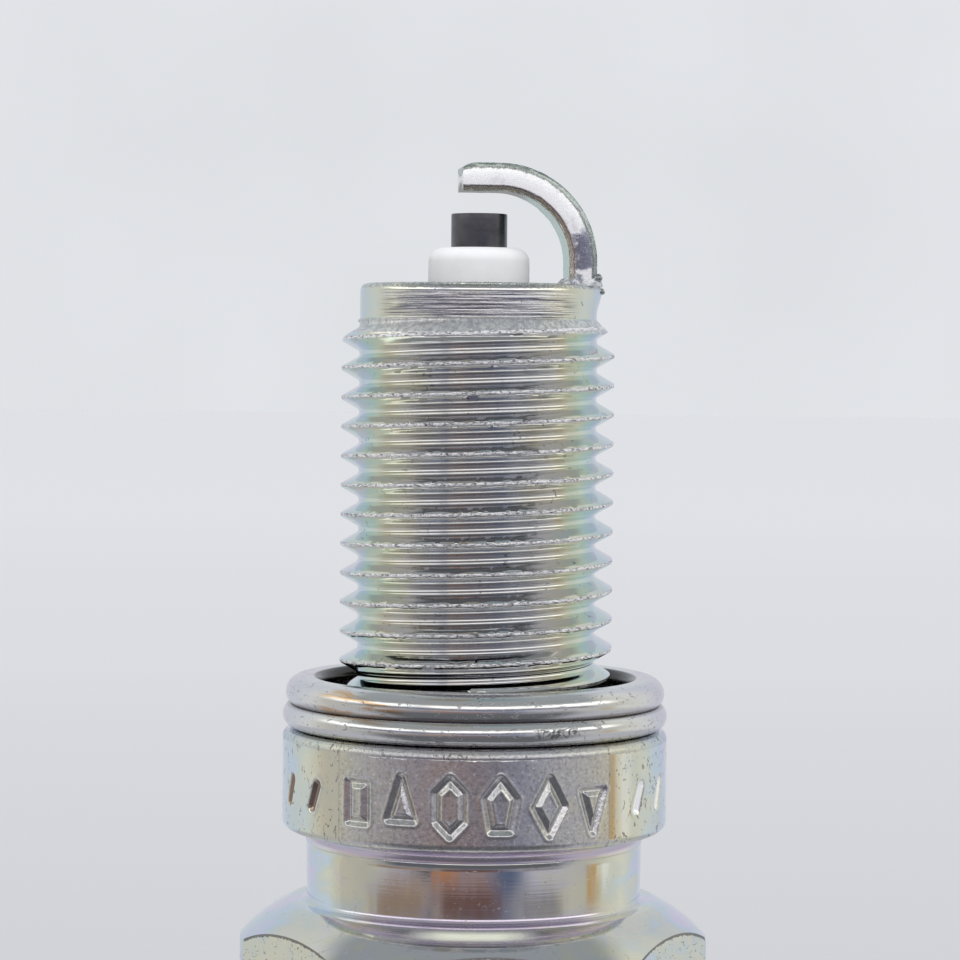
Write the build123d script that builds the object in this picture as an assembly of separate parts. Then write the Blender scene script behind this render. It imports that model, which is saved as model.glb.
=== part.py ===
from build123d import *
import math
import os

# A motorcycle spark plug: M12 x 1.25 thread, 19 mm reach, 19 mm class hexagon, removable terminal nut.
# Millimetres, +Z up. The origin is on the plug's axis in the plane of the shell's seating face, where the
# gasket sits. The firing end points up, the terminal end down.

# ---- thread and seat ------------------------------------------------------------------------------
THREAD_PITCH = 1.25
THREAD_CREST_RADIUS = 5.86
THREAD_ROOT_RADIUS = 5.08
CREST_FLAT = 0.13
REACH = 19.0  # seating face to end face
THREAD_BOTTOM = 1.3
THREAD_TOP = 17.35
THREAD_START_HEIGHT = 0.975 - THREAD_PITCH  # a crest passes +X at this height plus whole pitches
THREAD_TAPER_RADIUS = 5.6  # crest radius where the thread fades out at either end
UNDERCUT_RADIUS = 5.0
PILOT_RADIUS = 5.07
PILOT_ROUND = 0.35

# ---- outside of the shell ---------------------------------------------------------------------------
FLANGE_RADIUS = 8.25
FLANGE_BOTTOM = -4.3
FLANGE_TOP_CHAMFER = 0.4
FLANGE_BOTTOM_ROUND = 0.35
NECK_RADIUS = 7.15
NECK_TOP_FILLET = 0.35
NECK_BOTTOM = -6.75
NECK_FILLET_MIDDLE = (7.34, -7.15)
SHOULDER_START = (7.9, -7.43)  # (r, z) of the crisp edge between the neck's fillet and the domed shoulder
SHOULDER_MIDDLE = (9.1, -8.13)
SHOULDER_RADIUS = 10.03  # the hexagon's corners are turned to this radius
SHOULDER_BOTTOM = -8.98
HEX_ACROSS_FLATS = 18.6
HEX_TURN = 4.0  # degrees about +Z from a flat facing -Y
HEX_BOTTOM = -16.6
HEX_CHAMFER_RADIUS = 8.75  # where the domed chamfer under the corners meets the bottom face
HEX_CHAMFER_MIDDLE = (9.45, -16.27)
HEX_CHAMFER_RISE = 0.75
LIP_OUTER_RADIUS = 7.35
LIP_STRAIGHT_BOTTOM = -16.8
LIP_CURL_MIDDLE = (6.9, -17.8)
LIP_END_RADIUS = 5.7
LIP_BOTTOM = -18.3
LIP_THICKNESS = 0.55

# ---- stamped marks on the flange ----------------------------------------------------------------------
MARK_DEPTH = 0.14
MARK_STROKE = 0.34
MARK_WIDTH = 1.6
MARK_HEIGHT = 2.6
MARK_CENTRE_Z = -2.4
FIRST_MARK_ANGLE = -35.6  # degrees to the right of the front, as seen from outside
MARK_STEP_ANGLE = 14.4
MARK_SIDES = (4, 3, 6, 5, 4, 3)
MARK_TURNS = (45, 0, 0, 0, 0, 180)  # degrees each outline is turned about its centre
TICK_ANGLES = (-69.0, -53.7, 56.3, 70.1)
TICK_HEIGHT = 1.4
TICK_STROKE = 0.3
TICK_LEAN = 14.0
TICK_CENTRE_Z = -2.3

# ---- inside of the shell ------------------------------------------------------------------------------
FIRING_BORE_RADIUS = 3.65
LEDGE_RADIUS = 3.12
LEDGE_TOP = 10.8
WIDE_BORE_RADIUS = 6.3
BORE_CONE_TOP = 0.3
BORE_CONE_BOTTOM = -2.4
BORE_MOUTH_CHAMFER = 0.15

# ---- insulator ----------------------------------------------------------------------------------------
TIP_RADIUS = 2.165
TIP_HEIGHT = 20.55
TIP_ROUND = 0.6
NOSE_STRAIGHT_BOTTOM = 18.2
NOSE_BASE_RADIUS = 2.95
SEAT_RADIUS = 3.6
SEAT_BOTTOM = 8.6
SEAT_TOP = 9.2
LOWER_BODY_BOTTOM = 0.1
BODY_RADIUS = 5.9
BODY_TOP = -2.5
BODY_BOTTOM = -12.4
HEAD_RADIUS = 5.2
HEAD_END = -42.5
HEAD_END_RADIUS = 4.4
HEAD_END_CHAMFER = 0.4
RIB_COUNT = 5
RIB_PITCH = 2.6
RIB_CREST_RADIUS = 5.1
RIB_GROOVE_RADIUS = 4.4
FIRST_RIB_Z = -40.4
RIB_ZONE_FILLET = (0.25, 0.75, 1.3)  # middle step out, middle rise and full rise of the curve up to the head
FINE_BORE_RADIUS = 1.25
WIDE_INNER_RADIUS = 2.0
BORE_STEP = 4.0

# ---- electrodes ---------------------------------------------------------------------------------------
ELECTRODE_RADIUS = 1.2
ELECTRODE_TIP = 22.0
ELECTRODE_HEAD_RADIUS = 1.85
ELECTRODE_HEAD_BOTTOM = 2.8
CORE_RADIUS = 0.75
CORE_TOP = 19.2
ELECTRODE_CHAMFER = 0.06
STRAP_WIDTH = 2.4
STRAP_THICKNESS = 1.2
STRAP_INNER_BEND = 3.0
STRAP_BEND_X = 0.77
STRAP_TIP_X = -0.82
STRAP_TIP_CHAMFER = 0.2
SPARK_GAP = 0.95
STRAP_TURN = 6.0  # degrees about +Z, from above
FLASH_SPREAD = 0.28
FLASH_HEIGHT = 0.45

# ---- seals and terminal -------------------------------------------------------------------------------
WASHER_THICKNESS = 0.25
WIRE_RADIUS = 0.55
RESISTOR_TOP = 0.0
RESISTOR_BOTTOM = -10.0
UPPER_SEAL_BOTTOM = -13.6
KNURL_TOP = -10.8
KNURL_RIDGES = 4
KNURL_RIDGE_RADIUS = 1.75
KNURL_ROOT_RADIUS = 1.45
KNURL_RIDGE_HEIGHT = 0.5
KNURL_RIDGE_FLAT = 0.1
SHANK_RADIUS = 1.9
STUD_COLLAR_RADIUS = 3.1
STUD_COLLAR_HEIGHT = 1.0
STUD_COLLAR_CHAMFER = 0.2
STUD_PITCH = 0.7
STUD_CREST_RADIUS = 1.97
STUD_ROOT_RADIUS = 1.58
STUD_CREST_FLAT = 0.09
STUD_END = -52.0
STUD_END_CHAMFER = 0.3
STUD_FADE_IN = (0.25, 0.8)  # heights above the end where the thread starts and is full
STUD_FADE_OUT = (0.9, 0.3)  # depths under the collar where the thread stops being full and ends
NUT_BORE_RADIUS = 2.02
NUT_HEAD_RADIUS = 3.175
NUT_WAIST_RADIUS = 2.6
NUT_BASE_RADIUS = 3.1
NUT_BASE_CHAMFER = 0.15
NUT_BASE_DEPTH = 1.0  # depths below the stud's collar, as are the next three
NUT_WAIST_START = 1.5
NUT_WAIST_END = 3.3
NUT_HEAD_START = 4.1
NUT_END = -53.0
NUT_CROWN_HEIGHT = 1.5  # the head narrows over this height to its open end
NUT_CROWN_STEP = (2.45, 0.2)
NUT_CROWN_END_RADIUS = 2.2

# ---- gasket -------------------------------------------------------------------------------------------
GASKET_SHEET = 0.35
GASKET_TOP = 2.2
GASKET_HOLE_RADIUS = 6.35
GASKET_LOWER_ROLL = (8.2, 0.65)
GASKET_CREASE = (7.9, 1.09)
GASKET_UPPER_ROLL = (8.04, 1.4)
GASKET_LOWER_ROLL_START = 7.62
GASKET_TOP_RADII = (7.05, 7.35)
GASKET_TOP_LIP = (6.65, 1.95)
GASKET_INNER_FLAT = 7.1
GASKET_INNER_UPPER = (7.62, 1.5)
GASKET_INNER_CREASE = (7.5, 1.09)
GASKET_INNER_LOWER = (7.82, 0.65)
TAB_INNER_RADIUS = 5.5
TAB_ANGLES = (-52.0, 68.0, 188.0)
TAB_SPAN = 26.0

FLANK_SLOPE = math.tan(math.radians(30))
HEAD_STEP = BODY_RADIUS - HEAD_RADIUS  # the 45-degree shoulder drops as far as it goes in
STUD_SEAT = HEAD_END - STUD_COLLAR_HEIGHT
SLOPE_45 = math.sqrt(0.5)
RIDGE_SINK = 0.06  # how far a thread ridge's foot reaches into its core
OVERLAP = 0.05  # how far a turned ridge or envelope reaches into the core it is fused with


def turned(outline):
    """The solid swept by an (r, z) face turned about the plug's axis."""
    return revolve(Plane.XZ * outline, Axis.Z)


def turned_polygon(*points):
    """A turned solid whose section is a closed polygon of (r, z) points."""
    return turned(make_face(Polyline(*points, close=True)))


def disc(radius, bottom, top):
    """A plain cylinder on the axis between two heights."""
    return Pos(0, 0, bottom) * Cylinder(radius, top - bottom, align=(Align.CENTER, Align.CENTER, Align.MIN))


def tube(inner, outer, bottom, top):
    """A plain ring on the axis between two heights."""
    return disc(outer, bottom, top) - disc(inner, bottom - 1, top + 1)


def helical_ridge(pitch, root, crest, crest_flat, bottom, height):
    """One 60-degree thread ridge, right-handed, its middle passing +X at the height bottom."""
    half_crest = crest_flat / 2
    half_foot = half_crest + (crest - root + RIDGE_SINK) * FLANK_SLOPE
    section = Polyline(
        (root - RIDGE_SINK, -half_foot),
        (crest, -half_crest),
        (crest, half_crest),
        (root - RIDGE_SINK, half_foot),
        close=True,
    )
    plane = Plane(origin=(0, 0, bottom), x_dir=(1, 0, 0), z_dir=(0, -1, 0))
    path = Helix(pitch, height, root, center=(0, 0, bottom))
    return sweep(plane * make_face(section), path=path, is_frenet=True)


def shell_thread():
    """The M12 ridge, faded in at the pilot and out at the neck."""
    ridge = helical_ridge(
        THREAD_PITCH,
        THREAD_ROOT_RADIUS,
        THREAD_CREST_RADIUS,
        CREST_FLAT,
        THREAD_START_HEIGHT + THREAD_PITCH,
        THREAD_PITCH * 14,
    )
    over = THREAD_CREST_RADIUS + 0.2
    envelope = turned_polygon(
        (0, THREAD_BOTTOM),
        (THREAD_ROOT_RADIUS - OVERLAP, THREAD_BOTTOM),
        (THREAD_TAPER_RADIUS, THREAD_BOTTOM + 0.6),
        (over, THREAD_BOTTOM + 1.6),
        (over, THREAD_TOP - 1.4),
        (THREAD_TAPER_RADIUS, THREAD_TOP - 0.4),
        (THREAD_ROOT_RADIUS - OVERLAP, THREAD_TOP),
        (0, THREAD_TOP),
    )
    return ridge & envelope


def shell_blank():
    """The shell's turned outside, from the crimped lip up to the end face."""
    flange_edge = FLANGE_RADIUS - FLANGE_TOP_CHAMFER
    neck_top = FLANGE_BOTTOM - NECK_TOP_FILLET
    fillet_in = NECK_TOP_FILLET * (1 - SLOPE_45)
    round_in = FLANGE_BOTTOM_ROUND * (1 - SLOPE_45)
    outline = Polyline(
        (0, LIP_BOTTOM),
        (LIP_END_RADIUS, LIP_BOTTOM),
    ) + ThreePointArc(
        (LIP_END_RADIUS, LIP_BOTTOM),
        LIP_CURL_MIDDLE,
        (LIP_OUTER_RADIUS, LIP_STRAIGHT_BOTTOM),
    ) + Polyline(
        (LIP_OUTER_RADIUS, LIP_STRAIGHT_BOTTOM),
        (LIP_OUTER_RADIUS, HEX_BOTTOM),
        (HEX_CHAMFER_RADIUS, HEX_BOTTOM),
    ) + ThreePointArc(
        (HEX_CHAMFER_RADIUS, HEX_BOTTOM),
        HEX_CHAMFER_MIDDLE,
        (SHOULDER_RADIUS, HEX_BOTTOM + HEX_CHAMFER_RISE),
    ) + Line(
        (SHOULDER_RADIUS, HEX_BOTTOM + HEX_CHAMFER_RISE),
        (SHOULDER_RADIUS, SHOULDER_BOTTOM),
    ) + ThreePointArc(
        (SHOULDER_RADIUS, SHOULDER_BOTTOM),
        SHOULDER_MIDDLE,
        SHOULDER_START,
    ) + ThreePointArc(
        SHOULDER_START,
        NECK_FILLET_MIDDLE,
        (NECK_RADIUS, NECK_BOTTOM),
    ) + Line(
        (NECK_RADIUS, NECK_BOTTOM),
        (NECK_RADIUS, neck_top),
    ) + ThreePointArc(
        (NECK_RADIUS, neck_top),
        (NECK_RADIUS + fillet_in, FLANGE_BOTTOM - fillet_in),
        (NECK_RADIUS + NECK_TOP_FILLET, FLANGE_BOTTOM),
    ) + Line(
        (NECK_RADIUS + NECK_TOP_FILLET, FLANGE_BOTTOM),
        (FLANGE_RADIUS - FLANGE_BOTTOM_ROUND, FLANGE_BOTTOM),
    ) + ThreePointArc(
        (FLANGE_RADIUS - FLANGE_BOTTOM_ROUND, FLANGE_BOTTOM),
        (FLANGE_RADIUS - round_in, FLANGE_BOTTOM + round_in),
        (FLANGE_RADIUS, FLANGE_BOTTOM + FLANGE_BOTTOM_ROUND),
    ) + Polyline(
        (FLANGE_RADIUS, FLANGE_BOTTOM + FLANGE_BOTTOM_ROUND),
        (FLANGE_RADIUS, -FLANGE_TOP_CHAMFER),
        (flange_edge, 0),
        (UNDERCUT_RADIUS, 0),
        (UNDERCUT_RADIUS, THREAD_BOTTOM),
        (THREAD_ROOT_RADIUS, THREAD_BOTTOM + 0.3),
        (THREAD_ROOT_RADIUS, THREAD_TOP),
        (PILOT_RADIUS, THREAD_TOP),
        (PILOT_RADIUS, REACH - PILOT_ROUND),
    ) + ThreePointArc(
        (PILOT_RADIUS, REACH - PILOT_ROUND),
        (PILOT_RADIUS - PILOT_ROUND * (1 - SLOPE_45), REACH - PILOT_ROUND * (1 - SLOPE_45)),
        (PILOT_RADIUS - PILOT_ROUND, REACH),
    ) + Polyline(
        (PILOT_RADIUS - PILOT_ROUND, REACH),
        (0, REACH),
        (0, LIP_BOTTOM),
    )
    return turned(make_face(outline))


def shell_bore():
    """Everything inside the shell: firing bore, ledge, lower bore, wide bore and the curled lip's hollow."""
    normal_r, normal_z = washer_normal()
    ledge_cone_bottom = (SEAT_RADIUS + normal_r, SEAT_BOTTOM + normal_z)
    ledge_cone_top = (NOSE_BASE_RADIUS + normal_r, SEAT_TOP + normal_z)
    wire_r = (WIDE_BORE_RADIUS + HEAD_RADIUS) / 2
    wire_z = upper_wire_height()
    mouth_radius = FIRING_BORE_RADIUS + BORE_MOUTH_CHAMFER
    outline = Polyline(
        (0, REACH + 1),
        (mouth_radius, REACH + 1),
        (mouth_radius, REACH),
        (FIRING_BORE_RADIUS, REACH - BORE_MOUTH_CHAMFER),
        (FIRING_BORE_RADIUS, LEDGE_TOP + 0.5),
        (ledge_cone_top[0], LEDGE_TOP),
        ledge_cone_top,
        ledge_cone_bottom,
        (ledge_cone_bottom[0], BORE_CONE_TOP),
        (WIDE_BORE_RADIUS, BORE_CONE_BOTTOM),
        (WIDE_BORE_RADIUS, wire_z),
    ) + ThreePointArc(
        (WIDE_BORE_RADIUS, wire_z),
        (wire_r + WIRE_RADIUS * SLOPE_45, wire_z - WIRE_RADIUS * SLOPE_45),
        (wire_r, wire_z - WIRE_RADIUS),
    ) + Polyline(
        (wire_r, wire_z - WIRE_RADIUS),
        (HEAD_RADIUS + 0.1, wire_z - WIRE_RADIUS),
        (HEAD_RADIUS + 0.1, LIP_BOTTOM - 1),
        (0, LIP_BOTTOM - 1),
        (0, REACH + 1),
    )
    return turned(make_face(outline))


def washer_normal():
    """The packing washer's thickness as a step (dr, dz) square to the insulator's seat cone."""
    run = SEAT_RADIUS - NOSE_BASE_RADIUS
    rise = SEAT_TOP - SEAT_BOTTOM
    length = math.hypot(run, rise)
    return WASHER_THICKNESS * rise / length, WASHER_THICKNESS * run / length


def hexagon_trim():
    """What has to be cut off the turned blank to leave the six wrench flats."""
    height = SHOULDER_RADIUS
    middle = (HEX_BOTTOM + SHOULDER_BOTTOM) / 2
    section = RegularPolygon(HEX_ACROSS_FLATS / 2, 6, major_radius=False, rotation=HEX_TURN)
    prism = Pos(0, 0, middle - height / 2) * extrude(section, height)
    around = Pos(0, 0, middle) * Cylinder(SHOULDER_RADIUS + 2, height)
    return around - prism


def mark_outline(sides, turn):
    """One stamped mark: the outline of a polygon stretched to the mark's width and height."""

    def polygon(half_width, half_height):
        points = []
        for index in range(sides):
            angle = math.radians(turn + 360 * index / sides)
            points.append((half_width * math.sin(angle), half_height * math.cos(angle)))
        return make_face(Polyline(*points, close=True))

    outer = polygon(MARK_WIDTH / 2, MARK_HEIGHT / 2)
    inner = polygon(MARK_WIDTH / 2 - MARK_STROKE, MARK_HEIGHT / 2 - MARK_STROKE * 1.5)
    return outer - inner


def on_flange(sketch, angle, height):
    """A sketch turned into a shallow cutter on the flange's rim, angle degrees right of the front."""
    turn = math.radians(angle)
    outward = (math.sin(turn), -math.cos(turn), 0)
    along = (math.cos(turn), math.sin(turn), 0)
    floor_radius = FLANGE_RADIUS - MARK_DEPTH
    origin = (outward[0] * floor_radius, outward[1] * floor_radius, height)
    return extrude(Plane(origin=origin, x_dir=along, z_dir=outward) * sketch, 1.0)


def flange_marks():
    """The row of stamped marks with two slanted ticks at either end."""
    cutters = []
    for index, (sides, turn) in enumerate(zip(MARK_SIDES, MARK_TURNS)):
        angle = FIRST_MARK_ANGLE + MARK_STEP_ANGLE * index
        cutters.append(on_flange(mark_outline(sides, turn), angle, MARK_CENTRE_Z))
    tick = Rot(0, 0, -TICK_LEAN) * Rectangle(TICK_STROKE, TICK_HEIGHT)
    for angle in TICK_ANGLES:
        cutters.append(on_flange(tick, angle, TICK_CENTRE_Z))
    return cutters


def make_shell():
    """The threaded steel body."""
    body = shell_blank()
    body -= hexagon_trim()
    body += shell_thread()
    body -= shell_bore()
    body -= flange_marks()
    return body


def make_ground_electrode():
    """The bent strap standing on the end face, with the flash squeezed out round its weld."""
    inner_top = ELECTRODE_TIP + SPARK_GAP
    bend_z = inner_top - STRAP_INNER_BEND
    outer_bend = STRAP_INNER_BEND + STRAP_THICKNESS
    leg_inner = STRAP_BEND_X + STRAP_INNER_BEND
    leg_outer = STRAP_BEND_X + outer_bend
    outer_top = inner_top + STRAP_THICKNESS
    inner_mid = STRAP_INNER_BEND * SLOPE_45
    outer_mid = outer_bend * SLOPE_45
    outline = Polyline(
        (STRAP_BEND_X, inner_top),
        (STRAP_TIP_X, inner_top),
        (STRAP_TIP_X, outer_top - STRAP_TIP_CHAMFER),
        (STRAP_TIP_X + STRAP_TIP_CHAMFER, outer_top),
        (STRAP_BEND_X, outer_top),
    ) + ThreePointArc(
        (STRAP_BEND_X, outer_top),
        (STRAP_BEND_X + outer_mid, bend_z + outer_mid),
        (leg_outer, bend_z),
    ) + Polyline(
        (leg_outer, bend_z),
        (leg_outer, REACH),
        (leg_inner, REACH),
        (leg_inner, bend_z),
    ) + ThreePointArc(
        (leg_inner, bend_z),
        (STRAP_BEND_X + inner_mid, bend_z + inner_mid),
        (STRAP_BEND_X, inner_top),
    )
    strap = extrude(Plane.XZ * make_face(outline), STRAP_WIDTH / 2, both=True)
    leg_middle = (leg_inner + leg_outer) / 2
    flash = Pos(leg_middle, 0, REACH + FLASH_HEIGHT / 2) * Box(
        STRAP_THICKNESS + 2 * FLASH_SPREAD,
        STRAP_WIDTH + 2 * FLASH_SPREAD,
        FLASH_HEIGHT,
    )
    flash = fillet(flash.edges().filter_by(Axis.Z), FLASH_SPREAD * 1.4)
    flash = fillet(flash.faces().sort_by(Axis.Z)[-1].edges(), FLASH_SPREAD * 0.8)
    flash &= disc(PILOT_RADIUS + 0.25, REACH, REACH + FLASH_HEIGHT)
    return Rot(0, 0, STRAP_TURN) * (strap + flash)


def make_centre_electrode():
    """The nickel-alloy pin, hollow from below for its copper core."""
    pin = disc(ELECTRODE_RADIUS, BORE_STEP - 0.5, ELECTRODE_TIP)
    pin = chamfer(pin.faces().sort_by(Axis.Z)[-1].edges(), ELECTRODE_CHAMFER)
    head = disc(ELECTRODE_HEAD_RADIUS, ELECTRODE_HEAD_BOTTOM, BORE_STEP)
    return pin + head - make_copper_core()


def make_copper_core():
    """The copper heart of the centre electrode, rounded at its upper end."""
    core = disc(CORE_RADIUS, ELECTRODE_HEAD_BOTTOM, CORE_TOP)
    return fillet(core.faces().sort_by(Axis.Z)[-1].edges(), CORE_RADIUS * 0.6)


def insulator_outside():
    """The insulator's turned outside, from the tip down past the ribs to the terminal end."""
    rounded = TIP_ROUND * SLOPE_45
    head_step_z = BODY_BOTTOM - HEAD_STEP
    rib_zone_top = FIRST_RIB_Z + RIB_PITCH * (RIB_COUNT - 0.5)
    middle_out, middle_rise, full_rise = RIB_ZONE_FILLET
    outline = Polyline(
        (0, HEAD_END),
        (HEAD_END_RADIUS - HEAD_END_CHAMFER, HEAD_END),
        (HEAD_END_RADIUS, HEAD_END + HEAD_END_CHAMFER),
        (RIB_GROOVE_RADIUS, FIRST_RIB_Z - RIB_PITCH / 2),
    )
    for index in range(RIB_COUNT):
        crest_z = FIRST_RIB_Z + RIB_PITCH * index
        outline += Spline(
            (RIB_GROOVE_RADIUS, crest_z - RIB_PITCH / 2),
            (RIB_CREST_RADIUS, crest_z),
            (RIB_GROOVE_RADIUS, crest_z + RIB_PITCH / 2),
            tangents=((0, 1), (0, 1)),
        )
    outline += ThreePointArc(
        (RIB_GROOVE_RADIUS, rib_zone_top),
        (RIB_GROOVE_RADIUS + middle_out, rib_zone_top + middle_rise),
        (HEAD_RADIUS, rib_zone_top + full_rise),
    )
    outline += Polyline(
        (HEAD_RADIUS, rib_zone_top + full_rise),
        (HEAD_RADIUS, head_step_z),
        (BODY_RADIUS, BODY_BOTTOM),
        (BODY_RADIUS, BODY_TOP),
        (SEAT_RADIUS, LOWER_BODY_BOTTOM),
        (SEAT_RADIUS, SEAT_BOTTOM),
        (NOSE_BASE_RADIUS, SEAT_TOP),
        (TIP_RADIUS, NOSE_STRAIGHT_BOTTOM),
        (TIP_RADIUS, TIP_HEIGHT - TIP_ROUND),
    )
    outline += ThreePointArc(
        (TIP_RADIUS, TIP_HEIGHT - TIP_ROUND),
        (TIP_RADIUS - TIP_ROUND + rounded, TIP_HEIGHT - TIP_ROUND + rounded),
        (TIP_RADIUS - TIP_ROUND, TIP_HEIGHT),
    )
    outline += Polyline(
        (TIP_RADIUS - TIP_ROUND, TIP_HEIGHT),
        (0, TIP_HEIGHT),
        (0, HEAD_END),
    )
    return turned(make_face(outline))


def make_insulator():
    """The alumina insulator with its stepped bore."""
    fine_bore = disc(FINE_BORE_RADIUS, BORE_STEP - 1, TIP_HEIGHT + 1)
    wide_bore = disc(WIDE_INNER_RADIUS, HEAD_END - 1, BORE_STEP)
    return insulator_outside() - fine_bore - wide_bore


def make_terminal_stud():
    """The steel rod: knurled end in the glass, shank, collar on the insulator and M4 thread for the nut."""
    stud = disc(SHANK_RADIUS, STUD_SEAT, UPPER_SEAL_BOTTOM - 0.4)
    stud += disc(KNURL_ROOT_RADIUS, UPPER_SEAL_BOTTOM - 0.5, KNURL_TOP)
    ridge_step = (KNURL_TOP - UPPER_SEAL_BOTTOM) / (KNURL_RIDGES + 1)
    half_ridge = KNURL_RIDGE_HEIGHT / 2
    half_flat = KNURL_RIDGE_FLAT / 2
    for index in range(KNURL_RIDGES):
        ridge_z = UPPER_SEAL_BOTTOM + ridge_step * (index + 1)
        stud += turned_polygon(
            (0, ridge_z - half_ridge),
            (KNURL_ROOT_RADIUS - OVERLAP, ridge_z - half_ridge),
            (KNURL_RIDGE_RADIUS, ridge_z - half_flat),
            (KNURL_RIDGE_RADIUS, ridge_z + half_flat),
            (KNURL_ROOT_RADIUS - OVERLAP, ridge_z + half_ridge),
            (0, ridge_z + half_ridge),
        )
    collar = disc(STUD_COLLAR_RADIUS, STUD_SEAT, HEAD_END)
    stud += chamfer(collar.faces().sort_by(Axis.Z)[0].edges(), STUD_COLLAR_CHAMFER)
    core = disc(STUD_ROOT_RADIUS, STUD_END, STUD_SEAT)
    core = chamfer(core.faces().sort_by(Axis.Z)[0].edges(), STUD_END_CHAMFER)
    ridge = helical_ridge(
        STUD_PITCH,
        STUD_ROOT_RADIUS,
        STUD_CREST_RADIUS,
        STUD_CREST_FLAT,
        STUD_END - STUD_PITCH,
        STUD_SEAT - STUD_END + STUD_PITCH,
    )
    thread_start, full_start = (STUD_END + step for step in STUD_FADE_IN)
    full_end, thread_end = (STUD_SEAT - step for step in STUD_FADE_OUT)
    over = STUD_CREST_RADIUS + 0.1
    envelope = turned_polygon(
        (0, thread_start),
        (STUD_ROOT_RADIUS - OVERLAP, thread_start),
        (over, full_start),
        (over, full_end),
        (STUD_ROOT_RADIUS - OVERLAP, thread_end),
        (0, thread_end),
    )
    return stud + core + (ridge & envelope)


def make_terminal_nut():
    """The removable terminal nut that a plug cap snaps over."""
    base = STUD_SEAT
    blank = turned_polygon(
        (0, base),
        (NUT_BASE_RADIUS - NUT_BASE_CHAMFER, base),
        (NUT_BASE_RADIUS, base - NUT_BASE_CHAMFER),
        (NUT_BASE_RADIUS, base - NUT_BASE_DEPTH),
        (NUT_WAIST_RADIUS, base - NUT_WAIST_START),
        (NUT_WAIST_RADIUS, base - NUT_WAIST_END),
        (NUT_HEAD_RADIUS, base - NUT_HEAD_START),
        (NUT_HEAD_RADIUS, NUT_END + NUT_CROWN_HEIGHT),
        (NUT_CROWN_STEP[0], NUT_END + NUT_CROWN_STEP[1]),
        (NUT_CROWN_END_RADIUS, NUT_END),
        (0, NUT_END),
    )
    return blank - disc(NUT_BORE_RADIUS, NUT_END - 1, base + 1)


def make_lower_glass_seal():
    """Conductive glass between the centre electrode's head and the resistor."""
    return disc(WIDE_INNER_RADIUS, RESISTOR_TOP, ELECTRODE_HEAD_BOTTOM)


def make_resistor():
    """The carbon-ceramic resistor element."""
    return disc(WIDE_INNER_RADIUS, RESISTOR_BOTTOM, RESISTOR_TOP)


def make_upper_glass_seal():
    """Conductive glass moulded round the stud's knurled end."""
    return disc(WIDE_INNER_RADIUS, UPPER_SEAL_BOTTOM, RESISTOR_BOTTOM) - make_terminal_stud()


def make_packing_washer():
    """The thin conical washer between the insulator's seat and the shell's ledge."""
    normal_r, normal_z = washer_normal()
    run = SEAT_RADIUS - NOSE_BASE_RADIUS
    rise = SEAT_TOP - SEAT_BOTTOM
    near = (SEAT_RADIUS - 0.1 * run, SEAT_BOTTOM + 0.1 * rise)
    far = (SEAT_RADIUS - 0.9 * run, SEAT_BOTTOM + 0.9 * rise)
    return turned_polygon(
        near,
        (near[0] + normal_r, near[1] + normal_z),
        (far[0] + normal_r, far[1] + normal_z),
        far,
    )


def wire_ring(height):
    """A round-wire ring that fills the gap between insulator head and shell at the given height."""
    middle = (WIDE_BORE_RADIUS + HEAD_RADIUS) / 2
    return Pos(0, 0, height) * Torus(middle, WIRE_RADIUS)


def lower_wire_height():
    """Where the lower ring's wire touches the insulator's 45-degree shoulder."""
    middle = (WIDE_BORE_RADIUS + HEAD_RADIUS) / 2
    return BODY_BOTTOM - (BODY_RADIUS - middle) - WIRE_RADIUS / SLOPE_45


def upper_wire_height():
    """Where the upper ring's wire rests in the shell's curled lip."""
    return LIP_BOTTOM + LIP_THICKNESS + WIRE_RADIUS


def make_talc_fill():
    """Packed talc between the two wire rings."""
    bottom = upper_wire_height() + WIRE_RADIUS
    top = lower_wire_height() - WIRE_RADIUS
    return tube(HEAD_RADIUS, WIDE_BORE_RADIUS, bottom, top)


def gasket_ring():
    """The folded sheet ring: two rolls outside, hollow between its top and bottom layers."""
    top_inner, top_outer = GASKET_TOP_RADII
    lip_radius, lip_height = GASKET_TOP_LIP
    under_top = GASKET_TOP - GASKET_SHEET
    section = Polyline(
        (GASKET_HOLE_RADIUS, 0),
        (GASKET_LOWER_ROLL_START, 0),
    ) + ThreePointArc(
        (GASKET_LOWER_ROLL_START, 0),
        GASKET_LOWER_ROLL,
        GASKET_CREASE,
    ) + ThreePointArc(
        GASKET_CREASE,
        GASKET_UPPER_ROLL,
        (top_outer, GASKET_TOP),
    ) + Polyline(
        (top_outer, GASKET_TOP),
        (top_inner, GASKET_TOP),
        (lip_radius, lip_height),
        (lip_radius, lip_height - GASKET_SHEET),
        (GASKET_INNER_FLAT, under_top),
    ) + ThreePointArc(
        (GASKET_INNER_FLAT, under_top),
        GASKET_INNER_UPPER,
        GASKET_INNER_CREASE,
    ) + ThreePointArc(
        GASKET_INNER_CREASE,
        GASKET_INNER_LOWER,
        (GASKET_INNER_CREASE[0], GASKET_SHEET),
    ) + Polyline(
        (GASKET_INNER_CREASE[0], GASKET_SHEET),
        (GASKET_HOLE_RADIUS, GASKET_SHEET),
        (GASKET_HOLE_RADIUS, 0),
    )
    return turned(make_face(section))


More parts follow.
